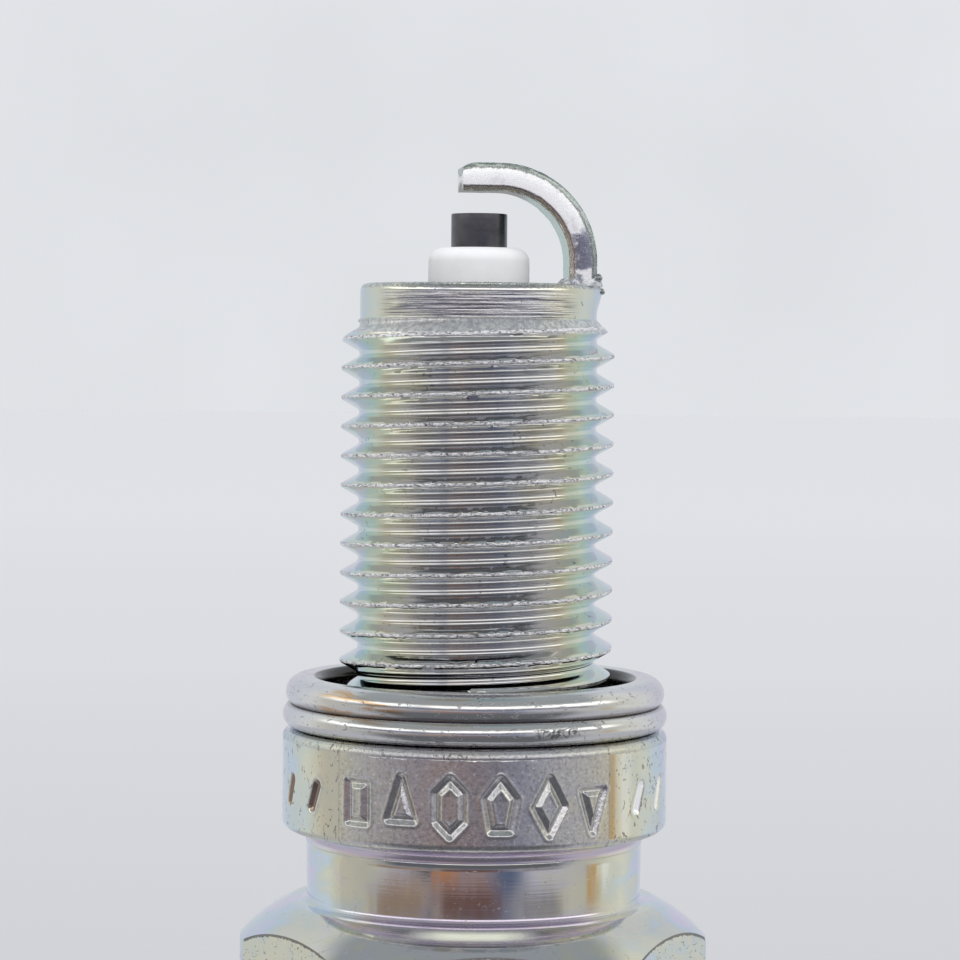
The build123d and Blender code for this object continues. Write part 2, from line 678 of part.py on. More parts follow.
def make_gasket():
    """The folded ring with the three inner tabs that keep it on the thread."""
    gasket = gasket_ring()
    ring = tube(TAB_INNER_RADIUS, GASKET_HOLE_RADIUS + 0.2, 0.02, GASKET_SHEET - 0.02)
    reach = 2 * GASKET_HOLE_RADIUS
    half_span = math.radians(TAB_SPAN / 2)
    for angle in TAB_ANGLES:
        corners = [(0, 0)]
        for side in (-1, 1):
            turn = math.radians(angle) + side * half_span
            corners.append((reach * math.cos(turn), reach * math.sin(turn)))
        wedge = extrude(make_face(Polyline(*corners, close=True)), 1.0)
        gasket += ring & wedge
    return gasket


NODES = {
    "shell": make_shell,
    "ground_electrode": make_ground_electrode,
    "gasket": make_gasket,
    "insulator": make_insulator,
    "centre_electrode": make_centre_electrode,
    "copper_core": make_copper_core,
    "lower_glass_seal": make_lower_glass_seal,
    "resistor": make_resistor,
    "upper_glass_seal": make_upper_glass_seal,
    "terminal_stud": make_terminal_stud,
    "terminal_nut": make_terminal_nut,
    "packing_washer": make_packing_washer,
    "lower_wire_ring": lambda: wire_ring(lower_wire_height()),
    "talc_fill": make_talc_fill,
    "upper_wire_ring": lambda: wire_ring(upper_wire_height()),
}

os.makedirs("parts", exist_ok=True)
for name, make in NODES.items():
    solid = make()
    solid.label = name
    export_step(solid, f"parts/{name}.step")
    print(name, round(solid.volume, 2), solid.is_valid, len(solid.solids()))
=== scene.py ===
"""Spark plug standing on its terminal end, firing end up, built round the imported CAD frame.

Shapes are written in millimetres in the CAD's frame (+Z toward the firing end, origin on the axis in the
seating plane) and turned into metres when a mesh is made.
"""

import math

import bmesh
import bpy
import numpy as np
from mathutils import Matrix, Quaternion, Vector, noise


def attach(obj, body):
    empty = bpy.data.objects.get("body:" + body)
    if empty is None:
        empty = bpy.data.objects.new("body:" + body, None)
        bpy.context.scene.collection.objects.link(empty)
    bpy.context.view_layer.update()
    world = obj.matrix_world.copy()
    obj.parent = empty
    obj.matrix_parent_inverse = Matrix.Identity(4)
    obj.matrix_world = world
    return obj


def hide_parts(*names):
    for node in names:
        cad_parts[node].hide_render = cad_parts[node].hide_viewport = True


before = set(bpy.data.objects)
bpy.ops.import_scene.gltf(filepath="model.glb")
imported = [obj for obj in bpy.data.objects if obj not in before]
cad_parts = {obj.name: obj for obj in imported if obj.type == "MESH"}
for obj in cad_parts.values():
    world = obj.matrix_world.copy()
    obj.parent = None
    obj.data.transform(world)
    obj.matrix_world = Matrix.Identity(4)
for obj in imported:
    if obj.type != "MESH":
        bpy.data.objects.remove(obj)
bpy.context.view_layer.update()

MM = 0.001
TAU = 2 * math.pi
TAN_30 = math.tan(math.radians(30))

# ---- sizes shared with the CAD model, in millimetres ----
PITCH = 1.25
CREST = 5.86
ROOT = 5.08
CREST_FLAT = 0.14  # width of the flat on a crest
THREAD_BOTTOM = 1.3
THREAD_TOP = 17.35
CREST_AT_X = 0.975  # a crest passes +X at this height plus whole pitches
RUN_OUT = 5.6  # crest radius where the thread fades out
REACH = 19.0
PILOT = 5.07
FIRING_BORE = 3.65
UNDERCUT = 5.0
FLANGE = 8.25
FLANGE_BOTTOM = -4.3
NECK = 7.15
SHOULDER_START = (7.9, -7.43)  # three (r, z) points of the domed shoulder's arc
SHOULDER_MIDDLE = (9.1, -8.13)
SHOULDER_END = (10.03, -8.98)
HALF_FLATS = 9.3
HEX_TURN = 4.0  # degrees from a flat facing -Y
HEX_BOTTOM = -16.6
LIP_BOTTOM = -18.3
WIDE_BORE = 6.3
HEAD_END = -42.5
STUD_SEAT = -43.5
STUD_END = -52.0
NUT_END = -53.0
EDGE_ROUND = 0.05  # machined edges are broken by about this much


# ---- outlines in the (r, z) half-plane ----


def circle_through(a, b, c):
    """Centre and radius of the circle through three (r, z) points."""
    (ax, ay), (bx, by), (cx, cy) = a, b, c
    twice = 2 * (ax * (by - cy) + bx * (cy - ay) + cx * (ay - by))
    a2, b2, c2 = ax * ax + ay * ay, bx * bx + by * by, cx * cx + cy * cy
    centre = (
        (a2 * (by - cy) + b2 * (cy - ay) + c2 * (ay - by)) / twice,
        (a2 * (cx - bx) + b2 * (ax - cx) + c2 * (bx - ax)) / twice,
    )
    return centre, math.hypot(ax - centre[0], ay - centre[1])


def arc(a, b, c, steps=8):
    """Points along the arc from a through b to c."""
    centre, radius = circle_through(a, b, c)
    start, middle, end = (math.atan2(p[1] - centre[1], p[0] - centre[0]) for p in (a, b, c))
    counter = (middle - start) % TAU < (end - start) % TAU
    sweep = (end - start) % TAU if counter else -((start - end) % TAU)
    angles = [start + sweep * i / steps for i in range(steps + 1)]
    return [(centre[0] + radius * math.cos(t), centre[1] + radius * math.sin(t)) for t in angles]


def softened(points, size=EDGE_ROUND, steps=3, closed=True):
    """The outline with every corner sharper than 20 degrees replaced by a small curve."""
    result = []
    count = len(points)
    for i, point in enumerate(points):
        before, after = np.array(points[i - 1]), np.array(points[(i + 1) % count])
        here = np.array(point)
        arrive, leave = here - before, after - here
        long_in, long_out = np.linalg.norm(arrive), np.linalg.norm(leave)
        if (not closed and i in (0, count - 1)) or min(long_in, long_out) < 1e-6:
            result.append(point)
            continue
        cosine = float(arrive @ leave) / (long_in * long_out)
        if cosine > math.cos(math.radians(20)):
            result.append(point)
            continue
        cut = min(size, 0.45 * long_in, 0.45 * long_out)
        start, end = here - arrive / long_in * cut, here + leave / long_out * cut
        for k in range(steps + 1):
            t = k / steps
            result.append(tuple((1 - t) ** 2 * start + 2 * t * (1 - t) * here + t * t * end))
    return result


def subdivided(points, longest, closed=True):
    """The outline with extra points so that no run is longer than the given length."""
    result = []
    pairs = list(zip(points, points[1:] + points[:1] if closed else points[1:]))
    for a, b in pairs:
        pieces = max(1, math.ceil(math.dist(a, b) / longest))
        result += [tuple(np.array(a) + (np.array(b) - np.array(a)) * k / pieces) for k in range(pieces)]
    return result if closed else result + [points[-1]]


# ---- meshes ----


def evenly(count):
    """Angles of evenly spaced columns round the axis, counter-clockwise from +X."""
    return np.arange(count) * TAU / count


def ring_grid(section, theta):
    """An (r, z) section turned about the axis: an array of rows, columns and r, theta, z."""
    r, z = np.array(section, float).T
    rows, columns = np.meshgrid(np.arange(len(r)), theta, indexing="ij")
    return np.stack([r[rows], columns, z[rows]], axis=-1)


def cartesian(grid):
    """x, y, z in millimetres from r, theta, z."""
    r, theta, z = np.moveaxis(grid, -1, 0)
    return np.stack([r * np.cos(theta), r * np.sin(theta), z], axis=-1)


def grid_faces(rows, columns, first=0, closed_rows=True, closed_columns=True, shift=0):
    """Quads of a grid of vertices. shift moves the row index where the last column meets the first."""
    faces = []
    for i in range(rows if closed_rows else rows - 1):
        for j in range(columns if closed_columns else columns - 1):
            step = shift if j == columns - 1 else 0
            low, high = i, (i + 1) % rows if closed_rows else i + 1
            if max(low, high) + step >= rows and step:
                continue
            right = (j + 1) % columns
            corners = ((low, j), (low + step, right), (high + step, right), (high, j))
            faces.append(tuple(first + a * columns + b for a, b in corners))
    return faces


def new_piece(name, points, faces, material, body="plug", sharp=32.0, merge=2e-4, marks=None):
    """A shaded mesh object from points in millimetres, riding on a body.

    marks holds named values for the points, which the material reads as attributes.
    """
    mesh = bpy.data.meshes.new(name)
    mesh.from_pydata((np.asarray(points, float).reshape(-1, 3) * MM).tolist(), [], faces)
    for key, values in (marks or {}).items():
        attribute = mesh.attributes.new(key, "FLOAT", "POINT")
        attribute.data.foreach_set("value", np.asarray(values, float).ravel())
    work = bmesh.new()
    work.from_mesh(mesh)
    bmesh.ops.remove_doubles(work, verts=work.verts, dist=merge * MM)
    bmesh.ops.dissolve_degenerate(work, edges=work.edges, dist=merge * MM * 0.5)
    bmesh.ops.recalc_face_normals(work, faces=work.faces)
    work.to_mesh(mesh)
    work.free()
    mesh.shade_smooth()
    mesh.set_sharp_from_angle(angle=math.radians(sharp))
    piece = bpy.data.objects.new(name, mesh)
    bpy.context.collection.objects.link(piece)
    piece.data.materials.append(material)
    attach(piece, body)
    return piece


def turned_piece(name, section, material, columns, warp=None, **options):
    """A piece turned from a closed (r, z) section, with an optional warp of its r, theta, z grid."""
    grid = ring_grid(section, evenly(columns))
    if warp:
        grid = warp(grid)
    rows, count = grid.shape[:2]
    return new_piece(name, cartesian(grid), grid_faces(rows, count), material, **options)


def ripple(theta, z, seed, waves=5):
    """A smooth, seeded wobble between about -1 and 1 that closes round the axis."""
    draw = np.random.default_rng(seed)
    total = np.zeros(np.broadcast(theta, z).shape)
    for _ in range(waves):
        turns = draw.integers(1, 9)
        total = total + np.sin(turns * theta + draw.uniform(0.2, 3.0) * z + draw.uniform(0, TAU))
    return total / waves


def smooth_step(value, low, high):
    """0 below low, 1 above high, and a smooth rise between."""
    t = np.clip((value - low) / (high - low), 0, 1)
    return t * t * (3 - 2 * t)


def angle_between(theta, centre):
    """Signed angle from centre to theta, in radians, between -pi and pi."""
    return (theta - centre + math.pi) % TAU - math.pi


# ---- screw threads ----


def thread_half(pitch, root, crest, crest_flat):
    """Half a pitch of a 60-degree thread, from the middle of its crest to its root.

    Each point has an offset along the axis, a radius and a crest share.
    """
    half_crest = crest_flat / 2
    round_radius = (pitch / 2 - half_crest) / TAN_30 - (crest - root)
    centre = root + round_radius
    foot = (pitch / 2 - round_radius * math.cos(math.radians(30)), centre - round_radius / 2)
    points = [(0.5 * half_crest, crest - 0.004), (0.85 * half_crest, crest - 0.014)]
    for t in (0.05, 0.35, 0.7, 0.95):
        points.append((half_crest + (foot[0] - half_crest) * t, crest + (foot[1] - crest) * t))
    for degrees in (60, 50, 40, 30, 20, 10):
        t = math.radians(degrees)
        points.append((pitch / 2 - round_radius * math.sin(t), centre - round_radius * math.cos(t)))
    shares = [1.0, 0.9, 0.3] + [0.0] * (len(points) - 3)
    return [(offset, radius, share) for (offset, radius), share in zip(points, shares)]


def thread_grid(pitch, root, crest, crest_flat, start, bottom, top, limit, columns):
    """A grid whose rows follow a right-handed helix, its rows in one pitch, and each point's crest share.

    limit gives the largest radius allowed at each height, which fades the thread out at its ends.
    """
    half = thread_half(pitch, root, crest, crest_flat)
    above = [(-offset, radius, share) for offset, radius, share in half[::-1]]
    offsets, radii, shares = np.array([(-pitch / 2, root, 0.0)] + above + [(0.0, crest, 1.0)] + half).T
    first_turn = math.floor((bottom - start) / pitch) - 2
    turns = math.ceil((top - bottom) / pitch) + 4
    z_rows = np.concatenate([start + (first_turn + turn) * pitch + offsets for turn in range(turns)])
    theta = evenly(columns)
    z = np.clip(z_rows[:, None] + pitch * theta[None, :] / TAU, bottom, top)
    r = np.minimum(np.tile(radii, turns)[:, None], limit(z))
    inside = (z > bottom + 0.1) & (z < top - 0.1)
    share = np.tile(shares, turns)[:, None] * inside
    return np.stack([r, np.broadcast_to(theta, z.shape), z], axis=-1), len(offsets), share


def threaded_piece(name, thread, rows_per_pitch, share, rest, material, warp=None, **options):
    """A thread grid, and the section that closes it from its top ring round to its bottom ring."""
    rows, count = thread.shape[:2]
    faces = grid_faces(rows, count, closed_rows=False, shift=rows_per_pitch)
    others = ring_grid(rest, evenly(count))
    if warp:
        others = warp(others)
    faces += grid_faces(len(rest), count, first=rows * count, closed_rows=False)
    points = np.concatenate([cartesian(thread).reshape(-1, 3), cartesian(others).reshape(-1, 3)])
    marks = {"crest": np.concatenate([share.ravel(), np.zeros(len(rest) * count)])}
    return new_piece(name, points, faces, material, marks=marks, **options)


# ---- node materials ----


class Value:
    """A node's output. Arithmetic on it adds Math nodes to its tree."""

    def __init__(self, graph, socket):
        self.graph = graph
        self.socket = socket

    def __add__(self, other):
        return self.graph.math("ADD", self, other)

    def __sub__(self, other):
        return self.graph.math("SUBTRACT", self, other)

    def __rsub__(self, other):
        return self.graph.math("SUBTRACT", other, self)

    def __mul__(self, other):
        return self.graph.math("MULTIPLY", self, other)

    def __abs__(self):
        return self.graph.math("ABSOLUTE", self)

    __radd__ = __add__
    __rmul__ = __mul__


class Graph:
    """The node tree of a material or a world, with short calls for adding and linking nodes."""

    def __init__(self, owner):
        self.owner = owner
        owner.use_nodes = True
        self.tree = owner.node_tree

    def feed(self, socket, value):
        """Links a socket to a value, or gives it a constant."""
        if isinstance(value, Value):
            self.tree.links.new(value.socket, socket)
        else:
            socket.default_value = value

    def node(self, kind, inputs=(), output=0, **settings):
        """Adds a shader node, sets its properties and inputs by index or name, and returns one output."""
        made = self.tree.nodes.new("ShaderNode" + kind)
        for key, value in settings.items():
            setattr(made, key, value)
        for key, value in dict(inputs).items():
            self.feed(made.inputs[key], value)
        return Value(self, made.outputs[output])

    def math(self, operation, a, b=0.0, c=0.0, clamp=False):
        """A Math node."""
        return self.node("Math", {0: a, 1: b, 2: c}, operation=operation, use_clamp=clamp)

    def either(self, a, b):
        """The larger of two values."""
        return self.math("MAXIMUM", a, b)

    def between(self, value, low, high):
        """0 at low and 1 at high, smoothly; low may be the larger number."""
        inputs = {"Value": value, "From Min": low, "From Max": high}
        return self.node("MapRange", inputs, interpolation_type="SMOOTHSTEP")

    def band(self, value, low, high, soft):
        """1 between low and high, falling to 0 over soft on either side."""
        rise = self.between(value, low - soft, low)
        fall = self.between(value, high, high + soft)
        return self.math("SUBTRACT", rise, fall, clamp=True)

    def place(self, scale=(1, 1, 1)):
        """The object's own coordinates in millimetres, stretched by scale."""
        coordinates = self.node("TexCoord", output=3)
        stretch = tuple(s / MM for s in scale)
        return self.node("VectorMath", {0: coordinates, 1: stretch}, operation="MULTIPLY")

    def split(self, vector):
        """The x, y and z of a vector."""
        made = self.tree.nodes.new("ShaderNodeSeparateXYZ")
        self.feed(made.inputs[0], vector)
        return [Value(self, output) for output in made.outputs]

    def height(self):
        """Height above the seating plane in millimetres."""
        return self.split(self.place())[2]

    def bearing(self, place=None):
        """Degrees round the axis from the front, positive towards +X."""
        x, y, _ = self.split(place or self.place())
        return self.math("ARCTAN2", x, y * -1.0) * (180 / math.pi)

    def mark(self, name):
        """A value stored on the mesh's points."""
        return self.node("Attribute", output=2, attribute_name=name)

    def radius(self):
        """Distance from the axis in millimetres."""
        return self.node("VectorMath", {0: self.place((1, 1, 0))}, operation="LENGTH", output=1)

    def noise(self, scale, detail=3.0, roughness=0.5, stretch=(1, 1, 1), distortion=0.0):
        """Noise between 0 and 1 with the given number of cells per millimetre."""
        inputs = {"Vector": self.place(stretch), "Scale": scale, "Detail": detail}
        inputs |= {"Roughness": roughness, "Distortion": distortion}
        return self.node("TexNoise", inputs)

    def spots(self, scale):
        """Distance to the nearest of a scatter of points, in cells."""
        return self.node("TexVoronoi", {"Vector": self.place(), "Scale": scale})

    def ramp(self, value, stops, smooth=False):
        """A colour ramp through (position, (r, g, b)) stops."""
        made = self.tree.nodes.new("ShaderNodeValToRGB")
        made.color_ramp.interpolation = "EASE" if smooth else "LINEAR"
        elements = made.color_ramp.elements
        while len(elements) < len(stops):
            elements.new(1.0)
        for element, (position, colour) in zip(elements, stops):
            element.position = position
            element.color = (*colour, 1.0)
        self.feed(made.inputs[0], value)
        return Value(self, made.outputs[0])

    def blend(self, factor, a, b):
        """A colour mix from a to b."""
        made = self.tree.nodes.new("ShaderNodeMix")
        made.data_type = "RGBA"
        for index, value in ((0, factor), (6, a), (7, b)):
            self.feed(made.inputs[index], (*value, 1.0) if isinstance(value, tuple) else value)
        return Value(self, made.outputs[2])

    def coats(self, colour, *coats):
        """A colour with others blended over it in turn, each given as (share, colour)."""
        for share, coat in coats:
            colour = self.blend(share, colour, coat)
        return colour

    def finish(self, colour, rough, relief=None, depth=0.01, metal=0.0):
        """Sets the Principled shader and returns the material. The relief's depth is in millimetres."""
        inputs = self.tree.nodes["Principled BSDF"].inputs
        self.feed(inputs["Base Color"], colour)
        self.feed(inputs["Roughness"], rough)
        self.feed(inputs["Metallic"], metal)
        if relief:
            bump = {"Height": relief, "Distance": depth * MM, "Strength": 1.0}
            self.feed(inputs["Normal"], self.node("Bump", bump))
        return self.owner


def new_material(name):
    """The node tree of a new material."""
    return Graph(bpy.data.materials.new(name))


FILM_COLOURS = (  # tint of the passivate film, from faces turned to the front or back to sideways ones
    (0.00, (0.74, 0.73, 0.74)),
    (0.20, (0.72, 0.72, 0.77)),
    (0.36, (0.74, 0.74, 0.73)),
    (0.50, (0.78, 0.77, 0.66)),
    (0.62, (0.73, 0.75, 0.68)),
    (0.72, (0.69, 0.74, 0.72)),
    (0.83, (0.63, 0.75, 0.86)),
    (1.00, (0.76, 0.70, 0.89)),
)
THREAD_COLOURS = (  # the same film inside the thread, where light meets it several times
    (0.00, (0.76, 0.76, 0.77)),
    (0.20, (0.75, 0.76, 0.79)),
    (0.38, (0.79, 0.77, 0.72)),
    (0.50, (0.76, 0.75, 0.64)),
    (0.60, (0.69, 0.76, 0.67)),
    (0.72, (0.60, 0.76, 0.72)),
    (0.84, (0.60, 0.75, 0.86)),
    (1.00, (0.80, 0.72, 0.88)),
)
GASKET_COLOURS = (
    (0.00, (0.82, 0.83, 0.86)),
    (0.55, (0.80, 0.81, 0.82)),
    (0.80, (0.74, 0.73, 0.79)),
    (1.00, (0.78, 0.66, 0.80)),
)
FLAKE_COLOURS = (
    (0.40, (0.12, 0.12, 0.14)),
    (0.46, (0.50, 0.50, 0.53)),
    (0.51, (0.92, 0.91, 0.94)),
    (0.64, (1.00, 0.99, 1.00)),
)
SILVER_COLOURS = ((0.36, (0.44, 0.45, 0.50)), (0.66, (0.98, 0.98, 0.96)))
TICK_SHADE_AND_HIGHLIGHT = ((0.49, (0.30, 0.20, 0.16)), (0.51, (0.98, 0.98, 0.97)))  # painted shade on the left ticks, then a painted highlight on the right ones
STRAP_WEAR_AND_HIGHLIGHTS = (  # across the strap, from its inner face over its side to its outer face: torn dark edges, and painted highlights in the near-white middle of the side and the bright lines by its inner edge
    (0.000, (0.60, 0.74, 0.69)),
    (0.150, (0.54, 0.67, 0.60)),
    (0.185, (0.42, 0.41, 0.34)),
    (0.210, (0.98, 0.95, 0.80)),
    (0.235, (0.66, 0.62, 0.50)),
    (0.265, (0.98, 0.94, 0.84)),
    (0.288, (0.24, 0.20, 0.19)),
    (0.315, (0.99, 0.98, 1.00)),
    (0.665, (1.00, 1.00, 1.00)),
    (0.700, (0.28, 0.30, 0.32)),
    (0.740, (0.58, 0.64, 0.62)),
    (0.800, (0.40, 0.48, 0.46)),
    (0.900, (0.52, 0.60, 0.57)),
)


def sideways(g):
    """0 on faces turned to the front or back, to 1 on faces turned sideways."""
    x, y, _ = g.split(g.node("TexCoord", output=1))
    return g.math("ARCTAN2", abs(x), abs(y)) * (2 / math.pi)


def film_tint(g, colours=FILM_COLOURS, waver=0.14):
    """Interference colours of the thin passivate film, which change with the way a face is turned."""
    wander = g.noise(0.5, stretch=(1, 1, 1.8), distortion=0.5) - 0.5
    return g.ramp(wander * (waver * 4) + sideways(g), colours)


def specks(g, scale, low, high, stretch=(1, 1, 1)):
    """A scatter of small ragged spots: 1 inside and 0 outside."""
    return g.between(g.noise(scale, roughness=0.62, stretch=stretch, distortion=1.2), low, high)


def turning_lines(g, spacing=9.0):
    """Fine grooves round the axis, left by turning."""
    return g.noise(1.0, detail=4.0, roughness=0.6, stretch=(0.10, 0.10, spacing))


def thread_zinc():
    """Zinc plate on thread and pilot: torn silver crests, smooth flanks and a turned pilot with painted
    glints and painted dark reflections along its turning lines.
    """
    g = new_material("thread_zinc")
    height = g.height()
    torn = g.noise(4.5, detail=5.0, roughness=0.7, stretch=(1, 1, 1.6))
    crest = g.between(torn * 0.9 + g.mark("crest"), 1.22, 1.38)
    flakes = g.ramp(g.noise(5.0, detail=5.0, roughness=0.8, stretch=(1, 1, 2.4)), FLAKE_COLOURS)
    flare = g.band(height, PILOT_FLARE - 0.55, PILOT_FLARE - 0.06, 0.10)
    brushed = g.noise(1.0, detail=5.0, roughness=0.7, stretch=(5.0, 5.0, 1.2))
    front = g.between(abs(g.bearing()), 58.0, 42.0)
    turned = front * g.band(height, PILOT_FLARE + 0.04, REACH - 0.4, 0.04)
    chatter = g.noise(1.0, detail=5.0, roughness=0.75, stretch=(4.2, 4.2, 9.0))
    lines = g.noise(1.0, detail=2.0, roughness=0.7, stretch=(0.25, 0.25, 17.0))
    # painted reflections on the turned pilot: dark navy lines, and bright glints that are less metallic
    dark_reflection_streaks = g.between(lines, 0.51, 0.60) * turned
    glints = g.between(lines, 0.46, 0.38) * turned
    dots = specks(g, 2.6, 0.66, 0.70) * (1.0 - crest)
    end_wear = g.between(height, REACH - 0.26, REACH - 0.16) * g.between(g.noise(6.0, detail=5.0), 0.42, 0.56)
    on_pilot = g.between(height, THREAD_TOP - 0.05, PILOT_FLARE + 0.2)
    in_thread = g.between(height, THREAD_TOP - 0.15, THREAD_TOP - 0.55)
    colour = g.coats(
        film_tint(g, THREAD_COLOURS, 0.18),
        (on_pilot, film_tint(g)),
        (in_thread * 0.20, (0.77, 0.79, 0.79)),
        (flare * 0.8, g.ramp(brushed, SILVER_COLOURS)),
        (crest, flakes),
        (dots * 0.7, (0.20, 0.20, 0.22)),
        (dark_reflection_streaks * 0.85, (0.10, 0.11, 0.20)),
        (glints, (0.97, 0.96, 0.99)),
        (end_wear * 0.6, (0.34, 0.36, 0.37)),
    )
    rough = crest * 0.26 + turned * 0.03 + flare * 0.15 + end_wear * 0.22 + 0.055
    relief = turning_lines(g) * 0.05 + (chatter + turning_lines(g)) * (turned * 1.9) + torn * (crest * 2.2)
    relief = relief + brushed * (flare * 4.0) + end_wear * 0.5
    metal = g.math("SUBTRACT", 1.0, flare * 0.25 + glints * 0.5 + crest * 0.4, clamp=True)
    return g.finish(colour, rough, relief, 0.012, metal)


def flange_zinc():
    """Zinc plate on the flange: grainy where the marks are stamped, smooth with dark flecks elsewhere, with
    painted shade under the gasket and painted light and shade on the ticks.
    """
    g = new_material("flange_zinc")
    height, bearing = g.height(), g.bearing()
    off_front = abs(bearing)
    pits = g.noise(6.5, detail=5.0, roughness=0.75)
    lumps = g.noise(1.6)
    ragged = lumps * 0.10 + height
    stamped = g.between(off_front, STAMPED_HALF + 0.3, STAMPED_HALF - 0.1) * g.between(ragged, -0.36, -0.46)
    border = g.band(off_front, STAMPED_HALF - 0.1, STAMPED_HALF + 0.2, 0.15)
    flecks = specks(g, 3.4, 0.60, 0.64, stretch=(1, 1, 0.8))
    top_edge = g.band(ragged, -0.34, -0.05, 0.06)
    sparkle = g.between(pits, 0.57, 0.66) * stamped
    dirt = g.between(pits, 0.50, 0.34) * g.either(stamped, top_edge)
    tick = g.mark("tick")
    # painted shade: the flange's top darkened inside the gasket's ring
    gasket_shade = g.between(g.radius(), 7.5, 7.2) * g.between(height, -0.1, -0.02)
    colour = g.coats(
        film_tint(g),
        (dirt * 0.5, (0.34, 0.32, 0.35)),
        (sparkle, (0.98, 0.98, 0.99)),
        (flecks * (1.0 - stamped) * 0.75, (0.22, 0.21, 0.20)),
        (border * 0.30, (0.16, 0.15, 0.15)),
        # the ticks: painted shade on the left ones, painted highlight on the right ones
        (tick * 0.85, g.ramp(bearing * 0.01 + 0.5, TICK_SHADE_AND_HIGHLIGHT, smooth=True)),
        (gasket_shade, (0.26, 0.25, 0.25)),
    )
    rough = stamped * 0.05 + flecks * 0.12 + top_edge * 0.16 + 0.09
    relief = (lumps * 1.2 + pits) * (stamped * 0.58 + 0.06) + pits * top_edge - border * 0.6
    # the right ticks lose their metal so that their painted highlight reads white
    metal = 1.0 - tick * g.between(bearing, -1.0, 1.0) * 0.8
    return g.finish(colour, rough, relief, 0.020, metal)


def hexagon_zinc():
    """Mirror-smooth zinc plate on neck and dome, and satin flats with scratches and a burr round them;
    painted highlights on the shoulder's front and on the fillet above it.
    """
    g = new_material("hexagon_zinc")
    height, flat = g.height(), g.mark("flat")
    off_front = abs(g.bearing())
    burr = g.between(g.noise(5.0, detail=5.0, roughness=0.7) * 0.9 + g.mark("burr"), 1.02, 1.12)
    slanted = g.noise(1.0, detail=2.0, stretch=(2.2, 2.2, 5.0), distortion=2.0)
    scratches = g.between(slanted, 0.655, 0.67) * flat
    flecks = specks(g, 2.2, 0.64, 0.68) * (flat * 0.7 + 0.3)
    hairs = g.between(g.noise(0.9, detail=1.0, distortion=6.0), 0.715, 0.73)
    worn = g.either(scratches, flecks * 0.8)
    # painted highlight: a soft yellowish-white band on the shoulder's front, rougher and less metallic
    highlight_edge = g.noise(2.0, detail=4.0) * 4.0 + off_front
    painted_highlight = g.between(highlight_edge, 26.0, 8.0) * g.band(height, NECK_FOOT - 0.53, NECK_FOOT - 0.47, 0.20)
    # a lilac painted highlight on the front of the fillet at the neck's foot; the band just under the flange
    # is the film's lilac tint
    lower = g.band(height, NECK_FOOT - 0.29, NECK_FOOT - 0.03, 0.06) * g.between(off_front, 60.0, 25.0)
    lilac = (g.band(height, NECK_LINE + 0.04, FLANGE_BOTTOM, 0.04) + lower) * 0.6
    colour = g.coats(
        film_tint(g, waver=0.3),
        (lilac, (0.84, 0.72, 0.96)),
        (worn * 0.7, (0.22, 0.21, 0.20)),
        (painted_highlight, (0.90, 0.93, 0.76)),
        (burr * 0.85, (0.20, 0.19, 0.19)),
    )
    rough = lilac * 0.3 + painted_highlight * 0.4 + flat * 0.18 + g.either(burr, worn) * 0.22 + 0.065
    relief = turning_lines(g, 12.0) * (0.25 - flat * 0.2) + hairs * 0.35 - g.either(burr, worn) * 1.2
    return g.finish(colour, rough, relief, 0.006, 1.0 - painted_highlight * 0.75)


def gasket_steel():
    """Plain bright sheet of the folded ring, with lilac sides, an orange stain and a dark scuff, and painted
    shade in its creases and round its hole.
    """
    g = new_material("gasket_sheet_metal")
    height, bearing = g.height(), g.bearing()
    along = g.noise(1.0, detail=4.0, roughness=0.6, stretch=(0.35, 0.35, 3.0), distortion=0.6)
    stain = g.band(bearing, -48.0, -27.0, 9.0) * g.band(height, 0.95, 1.95, 0.25)
    stain = stain * g.between(along, 0.46, 0.62)
    crumbs = g.between(g.noise(3.2, detail=5.0, roughness=0.75, distortion=1.5), 0.48, 0.53)
    scuff = g.band(bearing, 20.0, 29.0, 4.0) * g.band(height, 0.50, 0.72, 0.15) * crumbs
    flecks = specks(g, 3.0, 0.62, 0.66, stretch=(0.8, 0.8, 1.6))
    # painted shade in the crease between the rolls and along the bottom
    crease = g.either(g.band(height, 1.03, 1.15, 0.12), g.between(height, 0.32, 0.05))
    colour = g.coats(
        g.ramp(sideways(g), GASKET_COLOURS),
        (stain * 0.8, (0.66, 0.40, 0.17)),
        (flecks * 0.6, (0.27, 0.26, 0.28)),
        (scuff * 0.85, (0.12, 0.12, 0.13)),
        (crease * 0.65, (0.24, 0.22, 0.23)),
        # painted shade: near black round the hole, inside the ring
        (g.between(g.radius(), 6.98, 6.86), (0.05, 0.05, 0.05)),
    )
    rough = along * 0.14 + flecks * 0.15 + 0.10
    return g.finish(colour, rough, along * 0.6 - flecks * 0.6 - scuff, 0.010, 1.0)


